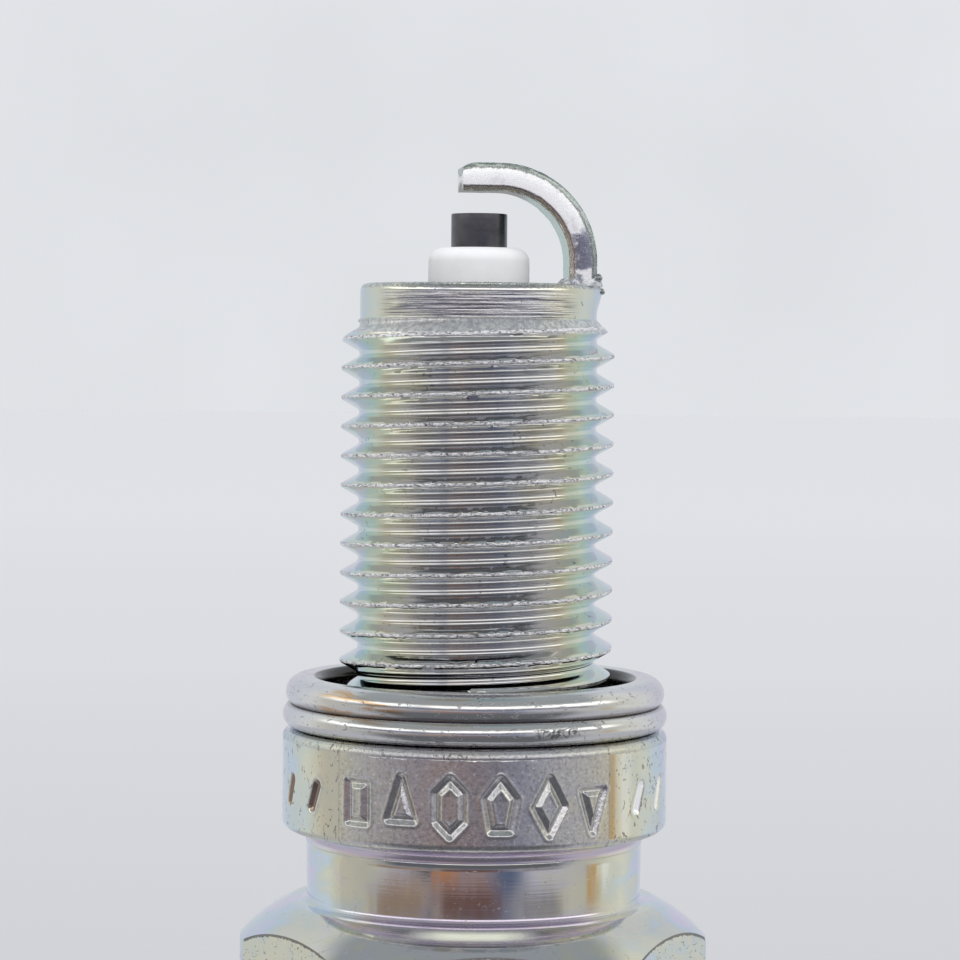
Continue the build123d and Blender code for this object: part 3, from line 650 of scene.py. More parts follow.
def strap_nickel(name="strap_nickel", crumpled=0.0):
    """Drawn nickel strip: a painted highlight along the middle of its sides, torn and stained at its long
    edges, with painted shade under its top and a painted dark reflection low down.
    """
    g = new_material(name)
    height, across = g.height(), g.mark("across")
    torn = g.noise(5.0, detail=5.0, roughness=0.72)
    smears = g.noise(1.1, detail=5.0, roughness=0.6, distortion=0.8)
    wobble = (torn - 0.5) * (0.14 + 1.6 * crumpled) + 0.5
    side = g.band(abs(across), -1.0, 0.52, 0.12)
    # painted dark bluish reflection on the side of the strap's upright part, near the weld
    leg = g.band(height, REACH + 0.5, REACH + 1.9, 1.3) * g.between(smears, 0.62, 0.40)
    # painted shade on the inner face of the strap's top, which faces down
    painted_underside_shade = g.between(across, -1.1, -1.3) * g.between(height, REACH + 3.5, REACH + 3.9)
    colour = g.coats(
        g.ramp(across * (1 / 3.2) + wobble, STRAP_WEAR_AND_HIGHLIGHTS),
        (painted_underside_shade, (0.16, 0.15, 0.14)),
        (leg * side * 0.75, (0.24, 0.26, 0.40)),
        (g.between(smears, 0.56, 0.66) * 0.35, (0.66, 0.60, 0.68)),
        (g.between(torn, 0.50, 0.36) * crumpled, (0.05, 0.05, 0.06)),
    )
    # the middle of the side is made diffuse near-white for its painted highlight, except on the painted dark
    # reflection low down
    metal = 1.0 - side * (1.0 - leg) * 0.85
    rough = torn * 0.22 + (0.16 + 0.06 * crumpled)
    return g.finish(colour, rough, torn * (0.9 + crumpled) + smears * 0.6, 0.018, metal)


def pin_nickel():
    """Dark satin nickel alloy of the centre electrode."""
    g = new_material("pin_nickel")
    lines = turning_lines(g, 7.0)
    dust = g.between(g.spots(5.0), 0.10, 0.05)
    tint = g.ramp(g.noise(1.3), ((0.3, (0.105, 0.105, 0.12)), (0.7, (0.16, 0.16, 0.18))), smooth=True)
    return g.finish(g.blend(dust * 0.5, tint, (0.5, 0.5, 0.5)), lines * 0.10 + 0.24, lines, 0.004, 1.0)


def alumina():
    """White sintered alumina: matte at the nose, under a clear glaze on the head below the shell."""
    g = new_material("alumina")
    dust = g.between(g.spots(1.6), 0.045, 0.025)
    white = g.ramp(g.noise(1.2, detail=4.0), ((0.3, (0.91,) * 3), (0.7, (0.95,) * 3)), smooth=True)
    colour = g.blend(dust * 0.45, white, (0.45, 0.43, 0.42))
    glazed = g.between(g.height(), LIP_BOTTOM + 0.3, LIP_BOTTOM - 0.3)
    grain = g.noise(14.0)
    rough = grain * 0.12 - glazed * 0.40 + 0.46
    return g.finish(colour, rough, g.noise(0.5, detail=1.0) * (glazed * 6.0) + grain, 0.004)


def plated_steel(name, shade):
    """Nickel-plated turned steel."""
    g = new_material(name)
    lines = g.noise(1.0, detail=4.0, stretch=(0.3, 0.3, 12.0))
    marks = specks(g, 2.4, 0.64, 0.68)
    tint = g.blend(g.noise(0.8), tuple(0.88 * s for s in shade), tuple(1.08 * s for s in shade))
    tint = g.blend(marks * 0.4, tint, (0.3, 0.3, 0.3))
    return g.finish(tint, lines * 0.16 + marks * 0.15 + 0.10, lines, 0.003, 1.0)


def grainy(name, dark, light, metal=0.0, rough=0.6, scale=4.0):
    """A plain material with fine grain, for the sealed inner pieces."""
    g = new_material(name)
    grain = g.noise(scale, detail=5.0, roughness=0.65)
    colour = g.ramp(grain, ((0.35, dark), (0.65, light)), smooth=True)
    return g.finish(colour, grain * 0.1 + (rough - 0.05), grain, 0.01, metal)


# ---- shell ----

PILOT_FLARE = 17.50  # the pilot starts to flare towards the thread at this height
SEAT_BORE = 3.12  # the narrowest bore, over the ledge that the packing washer sits on
SEAT_TOP = 10.8
SEAT_BOTTOM = 9.38
BODY_BORE = 3.77
WELD_ANGLE = 2  # the weld swells the pilot's end at this angle from +X
WELD_SPREAD = 20
WELD_SWELL = 0.24
CREST_GRAIN = 0.012  # the torn crests are rough by about this much
SEAM_BORE = 4.05  # thread and flange meet inside at this radius, in the seating plane
THREAD_COLUMNS = 220


def thread_limit(z):
    """Largest radius of the shell's thread at each height: it fades in at the pilot and out at the neck."""
    heights = [THREAD_BOTTOM, THREAD_BOTTOM + 0.6, THREAD_BOTTOM + 1.6]
    heights += [THREAD_TOP - 1.4, THREAD_TOP - 0.45, THREAD_TOP - 0.2, THREAD_TOP, PILOT_FLARE]
    return np.interp(z, heights, [ROOT, RUN_OUT, CREST + 0.2, CREST + 0.2, RUN_OUT + 0.08, 5.42, 5.22, PILOT])


def weld_bulge(grid):
    """The pilot's end swells outward under the ground electrode's weld."""
    r, theta, z = np.moveaxis(grid, -1, 0)
    off_weld = angle_between(theta, math.radians(WELD_ANGLE)) / math.radians(WELD_SPREAD)
    rise = smooth_step(z, REACH - 1.3, REACH - 0.15)
    swell = WELD_SWELL * np.exp(-(off_weld**2)) * rise * smooth_step(r, PILOT - 0.47, PILOT - 0.07)
    lumps = 1 + 0.25 * ripple(theta * 3, z * 3, 4)
    return np.stack([r + swell * lumps, theta, z], axis=-1)


def torn_crests(grid, share):
    """Crests rolled up rough: each point on them moves a little, and the root stays smooth."""
    r, theta, z = np.moveaxis(grid, -1, 0)
    draw = np.random.default_rng(3)
    grain = draw.normal(0, 1, r.shape)
    grain = 0.5 * grain + 0.25 * (np.roll(grain, 1, axis=1) + np.roll(grain, -1, axis=1))
    slow = ripple(theta * 3, z * 5, 1)
    out = share * (CREST_GRAIN * (grain + slow) - 0.014)
    return np.stack([r + out, theta, z + share * CREST_GRAIN * grain], axis=-1)


def make_shell_thread():
    """Pilot, rolled M12 thread and undercut, with the firing bore inside."""
    profile = (PITCH, ROOT, CREST, CREST_FLAT)
    ends = (THREAD_BOTTOM, PILOT_FLARE)
    thread, per_pitch, share = thread_grid(*profile, CREST_AT_X, *ends, thread_limit, THREAD_COLUMNS)
    rest = [(PILOT, PILOT_FLARE + 0.14 * k) for k in range(8)]
    rest += arc((PILOT, REACH - 0.35), (PILOT - 0.1025, REACH - 0.1025), (PILOT - 0.35, REACH), 7)
    inside = [
        (FIRING_BORE + 0.15, REACH),
        (FIRING_BORE, REACH - 0.15),
        (FIRING_BORE, SEAT_TOP + 0.5),
        (SEAT_BORE, SEAT_TOP),
        (SEAT_BORE, SEAT_BOTTOM),
        (BODY_BORE, SEAT_BOTTOM - 0.6),
        (BODY_BORE, 0.3),
        (SEAM_BORE, 0.0),
        (UNDERCUT, 0.0),
        (UNDERCUT, THREAD_BOTTOM),
        (ROOT, THREAD_BOTTOM),
    ]
    rest = softened(rest + subdivided(inside, 1.0, closed=False), closed=False)
    thread = torn_crests(thread, share)
    finish = thread_zinc()
    return threaded_piece("shell_thread", thread, per_pitch, share, rest, finish, warp=weld_bulge, sharp=50.0)


MARK_SIDES = (4, 3, 6, 5, 4, 3)  # each mark is a plain outline with this many sides
MARK_TURNS = (45, 0, 0, 0, 0, 180)  # turned by this many degrees
MARK_HALF = (0.63, 1.12)  # half width and height of a mark's groove centre line
MARK_Z = -2.4  # height of the marks' middle
MARK_FIRST = -35.6  # degrees from the front, positive towards +X
MARK_STEP = 14.4
TICKS = (-69.0, -53.7, 56.3, 70.1)  # the slanted ticks, in the same degrees
TICK_LEAN = 23.0
TICK_HALF = 0.50
TICK_WIDER = 1.35  # a tick's slot is this much wider than the marks' grooves
GROOVE_HALF = 0.21
GROOVE_DEPTH = 0.14
STAMPED_HALF = 42.3  # the grainy, stamped part of the rim ends this many degrees from the front
FINE_HALF = 76  # the rim's mesh is fine out to this many degrees
RIM_TOP = -0.38
RIM_ROW = 0.042
RIM_ROWS = 85


def distance_to_runs(u, v, runs):
    """Distance from each (u, v) to the nearest of a list of straight runs."""
    best = np.full(u.shape, 1e9)
    for (ax, ay), (bx, by) in runs:
        dx, dy = bx - ax, by - ay
        t = np.clip(((u - ax) * dx + (v - ay) * dy) / (dx * dx + dy * dy), 0, 1)
        best = np.minimum(best, np.hypot(u - ax - t * dx, v - ay - t * dy))
    return best


def mark_runs(sides, turn):
    """The straight runs of one generic stamped outline, about its own centre."""
    corners = []
    for k in range(sides):
        angle = math.radians(turn + 360 * k / sides)
        corners.append((MARK_HALF[0] * math.sin(angle), MARK_HALF[1] * math.cos(angle)))
    return list(zip(corners, corners[1:] + corners[:1]))


def flange_relief(grid):
    """Stamped marks and ticks pressed into the flange's rim, with a little metal raised round them."""
    r, theta, z = np.moveaxis(grid, -1, 0)
    depth = np.zeros_like(r)
    raised = np.zeros_like(r)
    shapes = enumerate(zip(MARK_SIDES, MARK_TURNS))
    places = [(MARK_FIRST + MARK_STEP * i, mark_runs(sides, turn)) for i, (sides, turn) in shapes]
    lean = math.radians(TICK_LEAN)
    top = (TICK_HALF * math.sin(lean), TICK_HALF * math.cos(lean))
    places += [(angle, [((-top[0], -top[1]), top)]) for angle in TICKS]
    tick = np.zeros_like(r)
    for angle, runs in places:
        across = angle_between(theta, math.radians(angle) - math.pi / 2) * FLANGE
        away = distance_to_runs(across, z - MARK_Z, runs)
        if len(runs) == 1:
            away = away / TICK_WIDER
            tick = np.maximum(tick, 1 - smooth_step(away, GROOVE_HALF * 0.75, GROOVE_HALF * 0.95))
        depth = np.maximum(depth, np.clip(1.12 * (1 - away / GROOVE_HALF), 0, 1))
        raised = np.maximum(raised, np.exp(-(((away - GROOVE_HALF * 1.25) / 0.07) ** 2)))
    outside = smooth_step(r, FLANGE - 0.02, FLANGE - 0.005)
    change = outside * (raised * (1 - depth) * 0.018 - depth * GROOVE_DEPTH)
    return np.stack([r + change, theta, z], axis=-1), tick * outside


def make_shell_flange():
    """The flange under the gasket, with its stamped marks."""
    front = -math.pi / 2
    fine = front + np.radians(np.linspace(-FINE_HALF, FINE_HALF, 520))
    coarse = front + np.radians(np.linspace(FINE_HALF, 360 - FINE_HALF, 90))[1:-1]
    theta = np.concatenate([fine, coarse])
    section = [(SEAM_BORE, 0.0), (FLANGE - 0.42, 0.0)]
    section += arc((FLANGE - 0.36, -0.02), (FLANGE - 0.12, -0.12), (FLANGE, -0.36), 6)
    section += [(FLANGE, RIM_TOP - RIM_ROW * k) for k in range(RIM_ROWS)]
    bottom_round = [(FLANGE, 0.35), (FLANGE - 0.103, 0.1025), (FLANGE - 0.35, 0.0)]
    section += arc(*((r, FLANGE_BOTTOM + rise) for r, rise in bottom_round), 6)
    section += [(WIDE_BORE, FLANGE_BOTTOM), (WIDE_BORE, -2.4)]
    grid, tick = flange_relief(ring_grid(section, theta))
    faces = grid_faces(len(section), len(theta))
    return new_piece("shell_flange", cartesian(grid), faces, flange_zinc(), sharp=60.0, marks={"tick": tick})


NECK_PROUD = 0.05  # the plated neck stands this far proud of its nominal radius
NECK_BULGE = 0.018  # and is very slightly barrelled
NECK_FOOT = -7.13  # the neck meets the small ledge round the shoulder's top here
NECK_LINE = -4.84  # a crisp line where the fillet under the flange meets the neck
NECK_ROWS = 8
SHOULDER_ROWS = 22
FLAT_ROWS = 14
HEX_COLUMNS = 480
HEX_FOOT = 8.75  # the hexagon's lower face is flat inside this radius
LIP_BORE = 5.3


def flat_distance(theta):
    """Distance from the axis to the nearest wrench flat, along the direction theta."""
    turn = math.radians(60)
    off_flat = (theta - math.radians(HEX_TURN - 90) + turn / 2) % turn - turn / 2
    return HALF_FLATS / math.cos(off_flat)


def neck_column():
    """The (r, z) outline from the flange's underside down over the neck to the shoulder's top."""
    neck = NECK + NECK_PROUD
    foot = neck - NECK_BULGE * 1.4**2
    column = [(WIDE_BORE, FLANGE_BOTTOM), (7.7, FLANGE_BOTTOM)]
    column += arc((7.7, FLANGE_BOTTOM), (7.37, FLANGE_BOTTOM - 0.15), (neck + 0.02, NECK_LINE + 0.03), 8)
    column += [(neck + 0.036, NECK_LINE - 0.03), (neck, NECK_LINE - 0.06)]
    for k in range(NECK_ROWS + 1):
        share = k / NECK_ROWS
        height = NECK_LINE - 0.08 + (NECK_FOOT + 0.06 - NECK_LINE) * share
        column.append((neck - NECK_BULGE * (2 * share - 0.6) ** 2, height))
    column += arc((foot, NECK_FOOT), (foot + 0.09, NECK_FOOT - 0.18), (foot + 0.31, NECK_FOOT - 0.255), 10)
    column.append((SHOULDER_START[0] - 0.03, SHOULDER_START[1] + 0.01))
    return column


def hexagon_column(theta, wander):
    """The (r, z) section at one angle round the axis, with each point's nearness to a burr and to a flat.

    It runs from the flange's underside down over neck, shoulder, hexagon and crimped lip, and back up inside.
    """
    edge = min(flat_distance(theta), SHOULDER_END[0])
    centre, radius = circle_through(SHOULDER_START, SHOULDER_MIDDLE, SHOULDER_END)
    first = math.atan2(SHOULDER_START[1] - centre[1], SHOULDER_START[0] - centre[0])
    last = math.acos((edge - centre[0]) / radius)
    column = neck_column()
    for k in range(SHOULDER_ROWS + 1):
        t = first + (last - first) * min(1.0, 1.04 * k / SHOULDER_ROWS)
        column.append((centre[0] + radius * math.cos(t), centre[1] + radius * math.sin(t)))
    rim = len(column)
    edge_z = column[-1][1]
    flats_top = edge_z - 0.3
    flats_bottom = HEX_BOTTOM + max(0.0, edge - HEX_FOOT) * 0.6
    column[-1] = (edge - 0.03 + wander, edge_z + 0.02)
    column.append((edge - 0.01 + wander * 0.5, edge_z - 0.05))
    column += [(edge - 0.003, edge_z - 0.16), (edge - 0.003, flats_top)]
    fall = flats_bottom + 0.05 - flats_top
    column += [(edge, flats_top + fall * k / FLAT_ROWS) for k in range(1, FLAT_ROWS + 1)]
    flats_end = len(column)
    column += [(edge - 0.03, flats_bottom - 0.02), (HEX_FOOT, HEX_BOTTOM), (7.4, HEX_BOTTOM)]
    column.append((7.35, HEX_BOTTOM - 0.05))
    column += arc((7.35, LIP_BOTTOM + 1.5), (6.9, LIP_BOTTOM + 0.5), (5.7, LIP_BOTTOM), 8)
    lip = [(LIP_BORE + 0.06, 0.0), (LIP_BORE, 0.06), (LIP_BORE, 0.55), (WIDE_BORE, 1.1)]
    column += [(r, LIP_BOTTOM + rise) for r, rise in lip]
    burr = np.zeros(len(column))
    on_flat = 1.0 if flat_distance(theta) < SHOULDER_END[0] else 0.25
    burr[rim - 2 : rim + 3] = np.array([0.25, 0.8, 0.8, 0.45, 0.0]) * on_flat
    flat = np.zeros(len(column))
    flat[rim:flats_end] = 1.0
    return column, burr, flat


def make_shell_hexagon():
    """Neck, domed shoulder, hexagon and crimped lip as one turned and flatted body."""
    theta = evenly(HEX_COLUMNS)
    draw = np.random.default_rng(8)
    wander = -np.abs(np.convolve(draw.normal(0, 0.012, len(theta)), [0.25, 0.5, 0.25], "same"))
    columns, burrs, flats = zip(*(hexagon_column(t, w) for t, w in zip(theta, wander)))
    grid = np.array([[(r, t, z) for r, z in column] for column, t in zip(columns, theta)]).transpose(1, 0, 2)
    looks = dict(sharp=30.0, marks={"burr": np.array(burrs).T, "flat": np.array(flats).T})
    return new_piece("shell_hexagon", cartesian(grid), grid_faces(*grid.shape[:2]), hexagon_zinc(), **looks)


# ---- gasket ----

GASKET_HOLE = 6.35
GASKET_TOP = 2.2
GASKET_SHEET = 0.35
TAB_REACH = 0.85
TAB_ANGLES = (-52.0, 68.0, 188.0)  # degrees from +X
TAB_HALF_SPAN = 13.0


def gasket_warp(grid):
    """Three tabs drawn inward from the bottom layer, and the slight waviness of folded sheet."""
    r, theta, z = np.moveaxis(grid, -1, 0)
    near = np.zeros_like(r)
    for angle in TAB_ANGLES:
        off = np.abs(np.degrees(angle_between(theta, math.radians(angle))))
        near = np.maximum(near, 1 - smooth_step(off, TAB_HALF_SPAN - 1.2, TAB_HALF_SPAN))
    inner = (r < GASKET_HOLE + 0.1) & (z < 0.5)
    r = r - TAB_REACH * near * inner
    wave = 0.018 * ripple(theta, z, 7)
    free = smooth_step(z, 0.4, 1.2) * smooth_step(GASKET_TOP + 0.01 - z, 0, 0.3)
    return np.stack([r + wave * free, theta, z], axis=-1)


def make_gasket():
    """The folded sheet ring: two rolls outside with a crease between, hollow inside."""
    section = [(GASKET_HOLE, 0.0), (7.2, 0.0)]
    section += arc((7.62, 0.0), (8.25, 0.60), (7.94, 1.07), 14)
    section += [(7.88, 1.09), (7.92, 1.13), (8.00, 1.12)]
    section += arc((8.00, 1.12), (8.12, 1.45), (7.35, GASKET_TOP), 18)
    section += arc((7.05, GASKET_TOP), (6.76, 2.08), (6.62, 1.75), 8)
    section += [(6.6, 1.0), (6.9, 1.0), (6.95, 1.55), (7.1, 1.82)]
    section += arc((7.1, 1.82), (7.6, 1.5), (7.5, 1.09), 8)[1:]
    section += arc((7.5, 1.09), (7.82, 0.65), (7.5, GASKET_SHEET), 8)[1:]
    section += [(6.9, GASKET_SHEET), (GASKET_HOLE, GASKET_SHEET)]
    looks = dict(body="gasket_ring", sharp=50.0)
    piece = turned_piece("folded_gasket", softened(section, 0.06), gasket_steel(), 360, gasket_warp, **looks)
    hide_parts("gasket")


# ---- ground electrode ----

STRAP_THICK = 1.2
STRAP_WIDE = 2.4
HALF_THICK = STRAP_THICK / 2
HALF_WIDE = STRAP_WIDE / 2
STRAP_EDGE = 0.12  # rounding of its long edges
STRAP_CROWN = 0.10  # its two sides stand out this much in the middle
STRAP_FOOT = 18.9
BEND_X = 0.77  # the bend's centre
BEND_Z = 19.95
BEND_MID = 3.6  # and the radius of the strap's middle line round it
STRAP_TIP = -0.82
STRAP_TURN = 6.0  # degrees about the axis
TIP_TAPER = 0.55  # length over which the tip thins
TIP_THINNER = 0.2  # and by how much
TEAR = 0.022  # roughness of the sheared edges
FLASH_TUBE = 0.17  # the flash is a lumpy roll of about this radius round the strap's foot
SPATTER = ((5.10, -0.75, 19.30, 0.17), (5.27, -0.35, 18.72, 0.13))  # place and radius of each ball


def strap_path():
    """Points of the strap's middle line with the direction it faces, from the weld to the tip."""
    path = [(BEND_X + BEND_MID, z, 0.0) for z in np.linspace(STRAP_FOOT, BEND_Z, 10)[:-1]]
    for angle in np.linspace(0, 90, 30):
        t = math.radians(angle)
        path.append((BEND_X + BEND_MID * math.cos(t), BEND_Z + BEND_MID * math.sin(t), t))
    path += [(x, BEND_Z + BEND_MID, math.pi / 2) for x in np.linspace(BEND_X, STRAP_TIP, 12)[1:]]
    return path


def strap_section():
    """Outline of the strap's section as (outward, sideways) points: a strip whose two sides are crowned."""
    side_points = 12
    points = []
    for sign in (-1, 1):
        for k in range(side_points + 1):
            out = -sign * HALF_THICK * (2 * k / side_points - 1)
            points.append((out * 0.999, sign * (HALF_WIDE - STRAP_CROWN * (out / HALF_THICK) ** 2)))
        points += [(-sign * HALF_THICK, sign * HALF_WIDE * share) for share in (0.75, 0.4, 0.0, -0.4, -0.75)]
    return softened(points, STRAP_EDGE, steps=4)


def turn_about_axis(points, degrees):
    """Points turned about +Z."""
    t = math.radians(degrees)
    x, y, z = points[..., 0], points[..., 1], points[..., 2]
    return np.stack([x * math.cos(t) - y * math.sin(t), x * math.sin(t) + y * math.cos(t), z], axis=-1)


def strap_marks(section, rows):
    """How far across the strap's side each point lies: -1 to 1 on the side, and 1.6 beyond its edges."""
    across = []
    for out, side in section:
        on_side = abs(side) > HALF_WIDE - 0.16
        across.append(out / HALF_THICK if on_side else math.copysign(1.6, out))
    return np.tile(across, (rows, 1))


def make_strap():
    """The bent ground electrode with sheared, slightly torn long edges and a tapered tip."""
    path, section = strap_path(), strap_section()
    draw = np.random.default_rng(12)
    rows = []
    along = 0.0
    for k, (x, z, t) in enumerate(path):
        if k:
            along += math.dist(path[k - 1][:2], (x, z))
        near_tip = max(0.0, (STRAP_TIP + TIP_TAPER - x) / TIP_TAPER)
        row = []
        for out, side in section:
            corner = smooth_step(abs(out), HALF_THICK - 0.14, HALF_THICK)
            corner *= smooth_step(abs(side), HALF_WIDE - 0.3, HALF_WIDE - 0.12)
            tear = TEAR * corner * (0.5 * math.sin(along * 9 + out * 5) + draw.uniform(-0.9, 0.9))
            taper = TIP_THINNER * near_tip**2 * max(0.0, out / HALF_THICK)
            o = out - taper - abs(tear) * math.copysign(1, out)
            row.append((x + o * math.cos(t), side + tear * math.copysign(1, side), z + o * math.sin(t)))
        rows.append(row)
    tip = np.array(rows[-1])
    middle = tip.mean(axis=0)
    for shrink in (0.95, 0.8, 0.4):
        rows.append((middle + (tip - middle) * shrink).tolist())
    grid = np.array(rows)
    columns = len(section)
    faces = grid_faces(len(grid), columns, closed_rows=False)
    faces.append(tuple(range(columns))[::-1])
    faces.append(tuple((len(grid) - 1) * columns + k for k in range(columns)))
    marks = {"across": strap_marks(section, len(grid))}
    points = turn_about_axis(grid, STRAP_TURN)
    piece = new_piece("ground_strap", points, faces, strap_nickel(), sharp=50.0, merge=1e-5, marks=marks)
    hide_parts("ground_electrode")


def lumpy(points, centres, size, frequency, seed):
    """Points pushed away from their centres by smooth solid noise of the given size."""
    moved = []
    for point, centre in zip(points, centres):
        push = noise.fractal(Vector(point) * frequency + Vector((seed, 0, 0)), 0.7, 2.0, 4)
        away = (Vector(point) - Vector(centre)).normalized()
        moved.append(Vector(point) + away * push * size)
    return np.array(moved)


def make_weld_flash():
    """The crumpled roll of metal squeezed out round the strap's weld."""
    around, tube = 132, 22
    corners = [(HALF_THICK * a, HALF_WIDE * b) for a, b in ((1, -1), (1, 1), (-1, 1), (-1, -1))]
    foot = subdivided(softened(corners, 0.3), 0.03)
    points, centres = [], []
    for k in range(around):
        out, side = foot[int(k * len(foot) / around)]
        normal = Vector((out / HALF_THICK**2, side / HALF_WIDE**2)).normalized()
        swell = 1 + 0.45 * noise.noise(Vector((out * 2.6, side * 2.6, 4.0)))
        base = (BEND_X + BEND_MID + out + normal.x * 0.02, side + normal.y * 0.02, REACH + 0.05)
        for j in range(tube):
            t = TAU * j / tube
            reach = FLASH_TUBE * swell * math.cos(t)
            rise = FLASH_TUBE * 1.15 * swell * math.sin(t)
            centres.append(base)
            points.append((base[0] + normal.x * reach, base[1] + normal.y * reach, base[2] + rise))
    grid = lumpy(points, centres, 0.085, 4.5, 7.0).reshape(around, tube, 3)
    points = turn_about_axis(grid, STRAP_TURN)
    marks = {"across": np.full((around, tube), 0.3)}
    faces = grid_faces(around, tube)
    finish = strap_nickel("flash_nickel", crumpled=0.6)
    return new_piece("weld_flash", points, faces, finish, sharp=70.0, merge=1e-5, marks=marks)


def make_spatter(index, x, y, z, radius):
    """A small ball of weld metal stuck to the shell's edge."""
    rings, around = 10, 16
    points = []
    for k in range(rings + 1):
        t = math.pi * k / rings
        for u in evenly(around):
            direction = (math.sin(t) * math.cos(u), math.sin(t) * math.sin(u), math.cos(t))
            points.append(tuple(c + radius * d for c, d in zip((x, y, z), direction)))
    grid = lumpy(points, [(x, y, z)] * len(points), radius * 0.35, 5.0, index)
    faces = grid_faces(rings + 1, around, closed_rows=False)
    marks = {"across": np.full(len(points), 0.8)}
    finish = strap_nickel(f"spatter_nickel_{index}", crumpled=0.4)
    return new_piece(f"weld_spatter_{index}", grid, faces, finish, sharp=80.0, merge=2e-3, marks=marks)


# ---- insulator and electrode ----

RIBS = 5
RIB_PITCH = 2.6
RIB_CREST = 5.1
RIB_GROOVE = 4.4
RIB_POINTS = 14
FIRST_RIB = -40.4
HEAD_RADIUS = 5.2
BODY_RADIUS = 5.9
CORE_RADIUS = 3.6
NOSE_RADIUS = 2.165
NOSE_TOP = 20.55
PIN_BORE = 1.25
PIN_RADIUS = 1.2
PIN_HEAD_RADIUS = 1.85
PIN_TOP = 22.0


def insulator_section():
    """Closed section of the ribbed alumina body round its stepped bore."""
    section = [(2.0, HEAD_END), (4.0, HEAD_END), (4.4, HEAD_END + 0.4)]
    bottom = FIRST_RIB - RIB_PITCH / 2
    for k in range(RIBS * RIB_POINTS + 1):
        turn = TAU * k / RIB_POINTS
        radius = RIB_GROOVE + (RIB_CREST - RIB_GROOVE) * (0.5 - 0.5 * math.cos(turn)) ** 1.3
        section.append((radius, bottom + RIB_PITCH * k / RIB_POINTS))
    top = bottom + RIBS * RIB_PITCH
    section += arc((RIB_GROOVE, top + 0.02), (RIB_GROOVE + 0.25, top + 0.75), (HEAD_RADIUS, top + 1.3), 8)[1:]
    section += [(HEAD_RADIUS, -13.1), (BODY_RADIUS, -12.4), (BODY_RADIUS, -2.5)]
    section += [(CORE_RADIUS, 0.1), (CORE_RADIUS, 8.6), (2.95, 9.2), (NOSE_RADIUS, 18.2)]
    section += arc((NOSE_RADIUS, 19.95), (1.989, 20.374), (1.565, NOSE_TOP), 10)
    section += [(PIN_BORE + 0.02, NOSE_TOP), (PIN_BORE, NOSE_TOP - 0.03), (PIN_BORE, 4.0), (2.0, 4.0)]
    return subdivided(section, 1.5)


def make_insulator():
    """The insulator, turned from its section."""
    piece = turned_piece("insulator_body", insulator_section(), alumina(), 160, sharp=30.0)
    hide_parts("insulator")


def make_centre_pin():
    """The centre electrode's pin, standing out of the nose."""
    head = [(PIN_HEAD_RADIUS, 2.8), (PIN_HEAD_RADIUS, 4.0), (PIN_RADIUS, 4.0)]
    section = [(0.0, 2.8), *head, (PIN_RADIUS, PIN_TOP), (0.0, PIN_TOP)]
    section = softened(section, 0.05, closed=False)
    piece = turned_piece("centre_pin", subdivided(section, 1.0, closed=False), pin_nickel(), 96)
    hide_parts("centre_electrode")


# ---- terminal ----

STUD_PITCH = 0.7
STUD_ROOT = 1.58
STUD_CREST = 1.97
STUD_CREST_FLAT = 0.09
COLLAR = 3.1
SHANK = 1.9
KNURL_ROOT = 1.45
KNURL_CREST = 1.75
KNURL_START = -13.4
KNURL_STEP = 0.6
STUD_TOP = -10.8
NUT_BORE = 2.02
NUT_WAIST = 2.6
NUT_RADIUS = 3.175


def stud_limit(z):
    """Largest radius of the stud's thread at each height."""
    heights = [STUD_END, STUD_END + 0.25, STUD_END + 0.8, STUD_SEAT - 0.9, STUD_SEAT - 0.3, STUD_SEAT]
    return np.interp(z, heights, [STUD_ROOT, STUD_ROOT, 2.1, 2.1, STUD_ROOT, STUD_ROOT])


def make_stud():
    """The terminal stud: M4 thread, collar, shank and knurled inner end."""
    profile = (STUD_PITCH, STUD_ROOT, STUD_CREST, STUD_CREST_FLAT)
    ends = (STUD_END + 0.3, STUD_SEAT)
    thread, per_pitch, share = thread_grid(*profile, STUD_END, *ends, stud_limit, 120)
    rest = [(STUD_ROOT, STUD_SEAT), (COLLAR - 0.15, STUD_SEAT), (COLLAR, STUD_SEAT + 0.15)]
    rest += [(COLLAR, HEAD_END), (SHANK, HEAD_END), (SHANK, KNURL_START - KNURL_STEP)]
    for k in range(4):
        z = KNURL_START + KNURL_STEP * k
        rest += [(KNURL_ROOT, z), (KNURL_CREST, z + 0.2), (KNURL_CREST, z + 0.3), (KNURL_ROOT, z + 0.5)]
    rest += [(KNURL_ROOT, STUD_TOP), (0.0, STUD_TOP), (0.0, STUD_END)]
    rest += [(STUD_ROOT - 0.3, STUD_END), (STUD_ROOT, STUD_END + 0.3)]
    finish = plated_steel("stud_plate", (0.68, 0.67, 0.64))
    piece = threaded_piece("terminal_stud_body", thread, per_pitch, share, rest, finish)
    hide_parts("terminal_stud")


def make_nut():
    """The removable terminal nut."""
    section = [(NUT_BORE, 0.0), (2.95, 0.0), (3.1, -0.15), (3.1, -1.0), (NUT_WAIST, -1.5), (NUT_WAIST, -3.3)]
    section = [(r, STUD_SEAT + drop) for r, drop in section]
    section += [(NUT_RADIUS, STUD_SEAT - 4.1), (NUT_RADIUS, NUT_END + 1.5)]
    section += [(2.45, NUT_END + 0.2), (2.2, NUT_END), (NUT_BORE, NUT_END)]
    section = subdivided(softened(section, 0.08), 1.0)
    finish = plated_steel("nut_plate", (0.74, 0.73, 0.71))
    piece = turned_piece("terminal_nut_body", section, finish, 144, body="nut", sharp=40.0)
    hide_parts("terminal_nut")


# ---- sealed inner pieces, which keep their CAD shapes ----

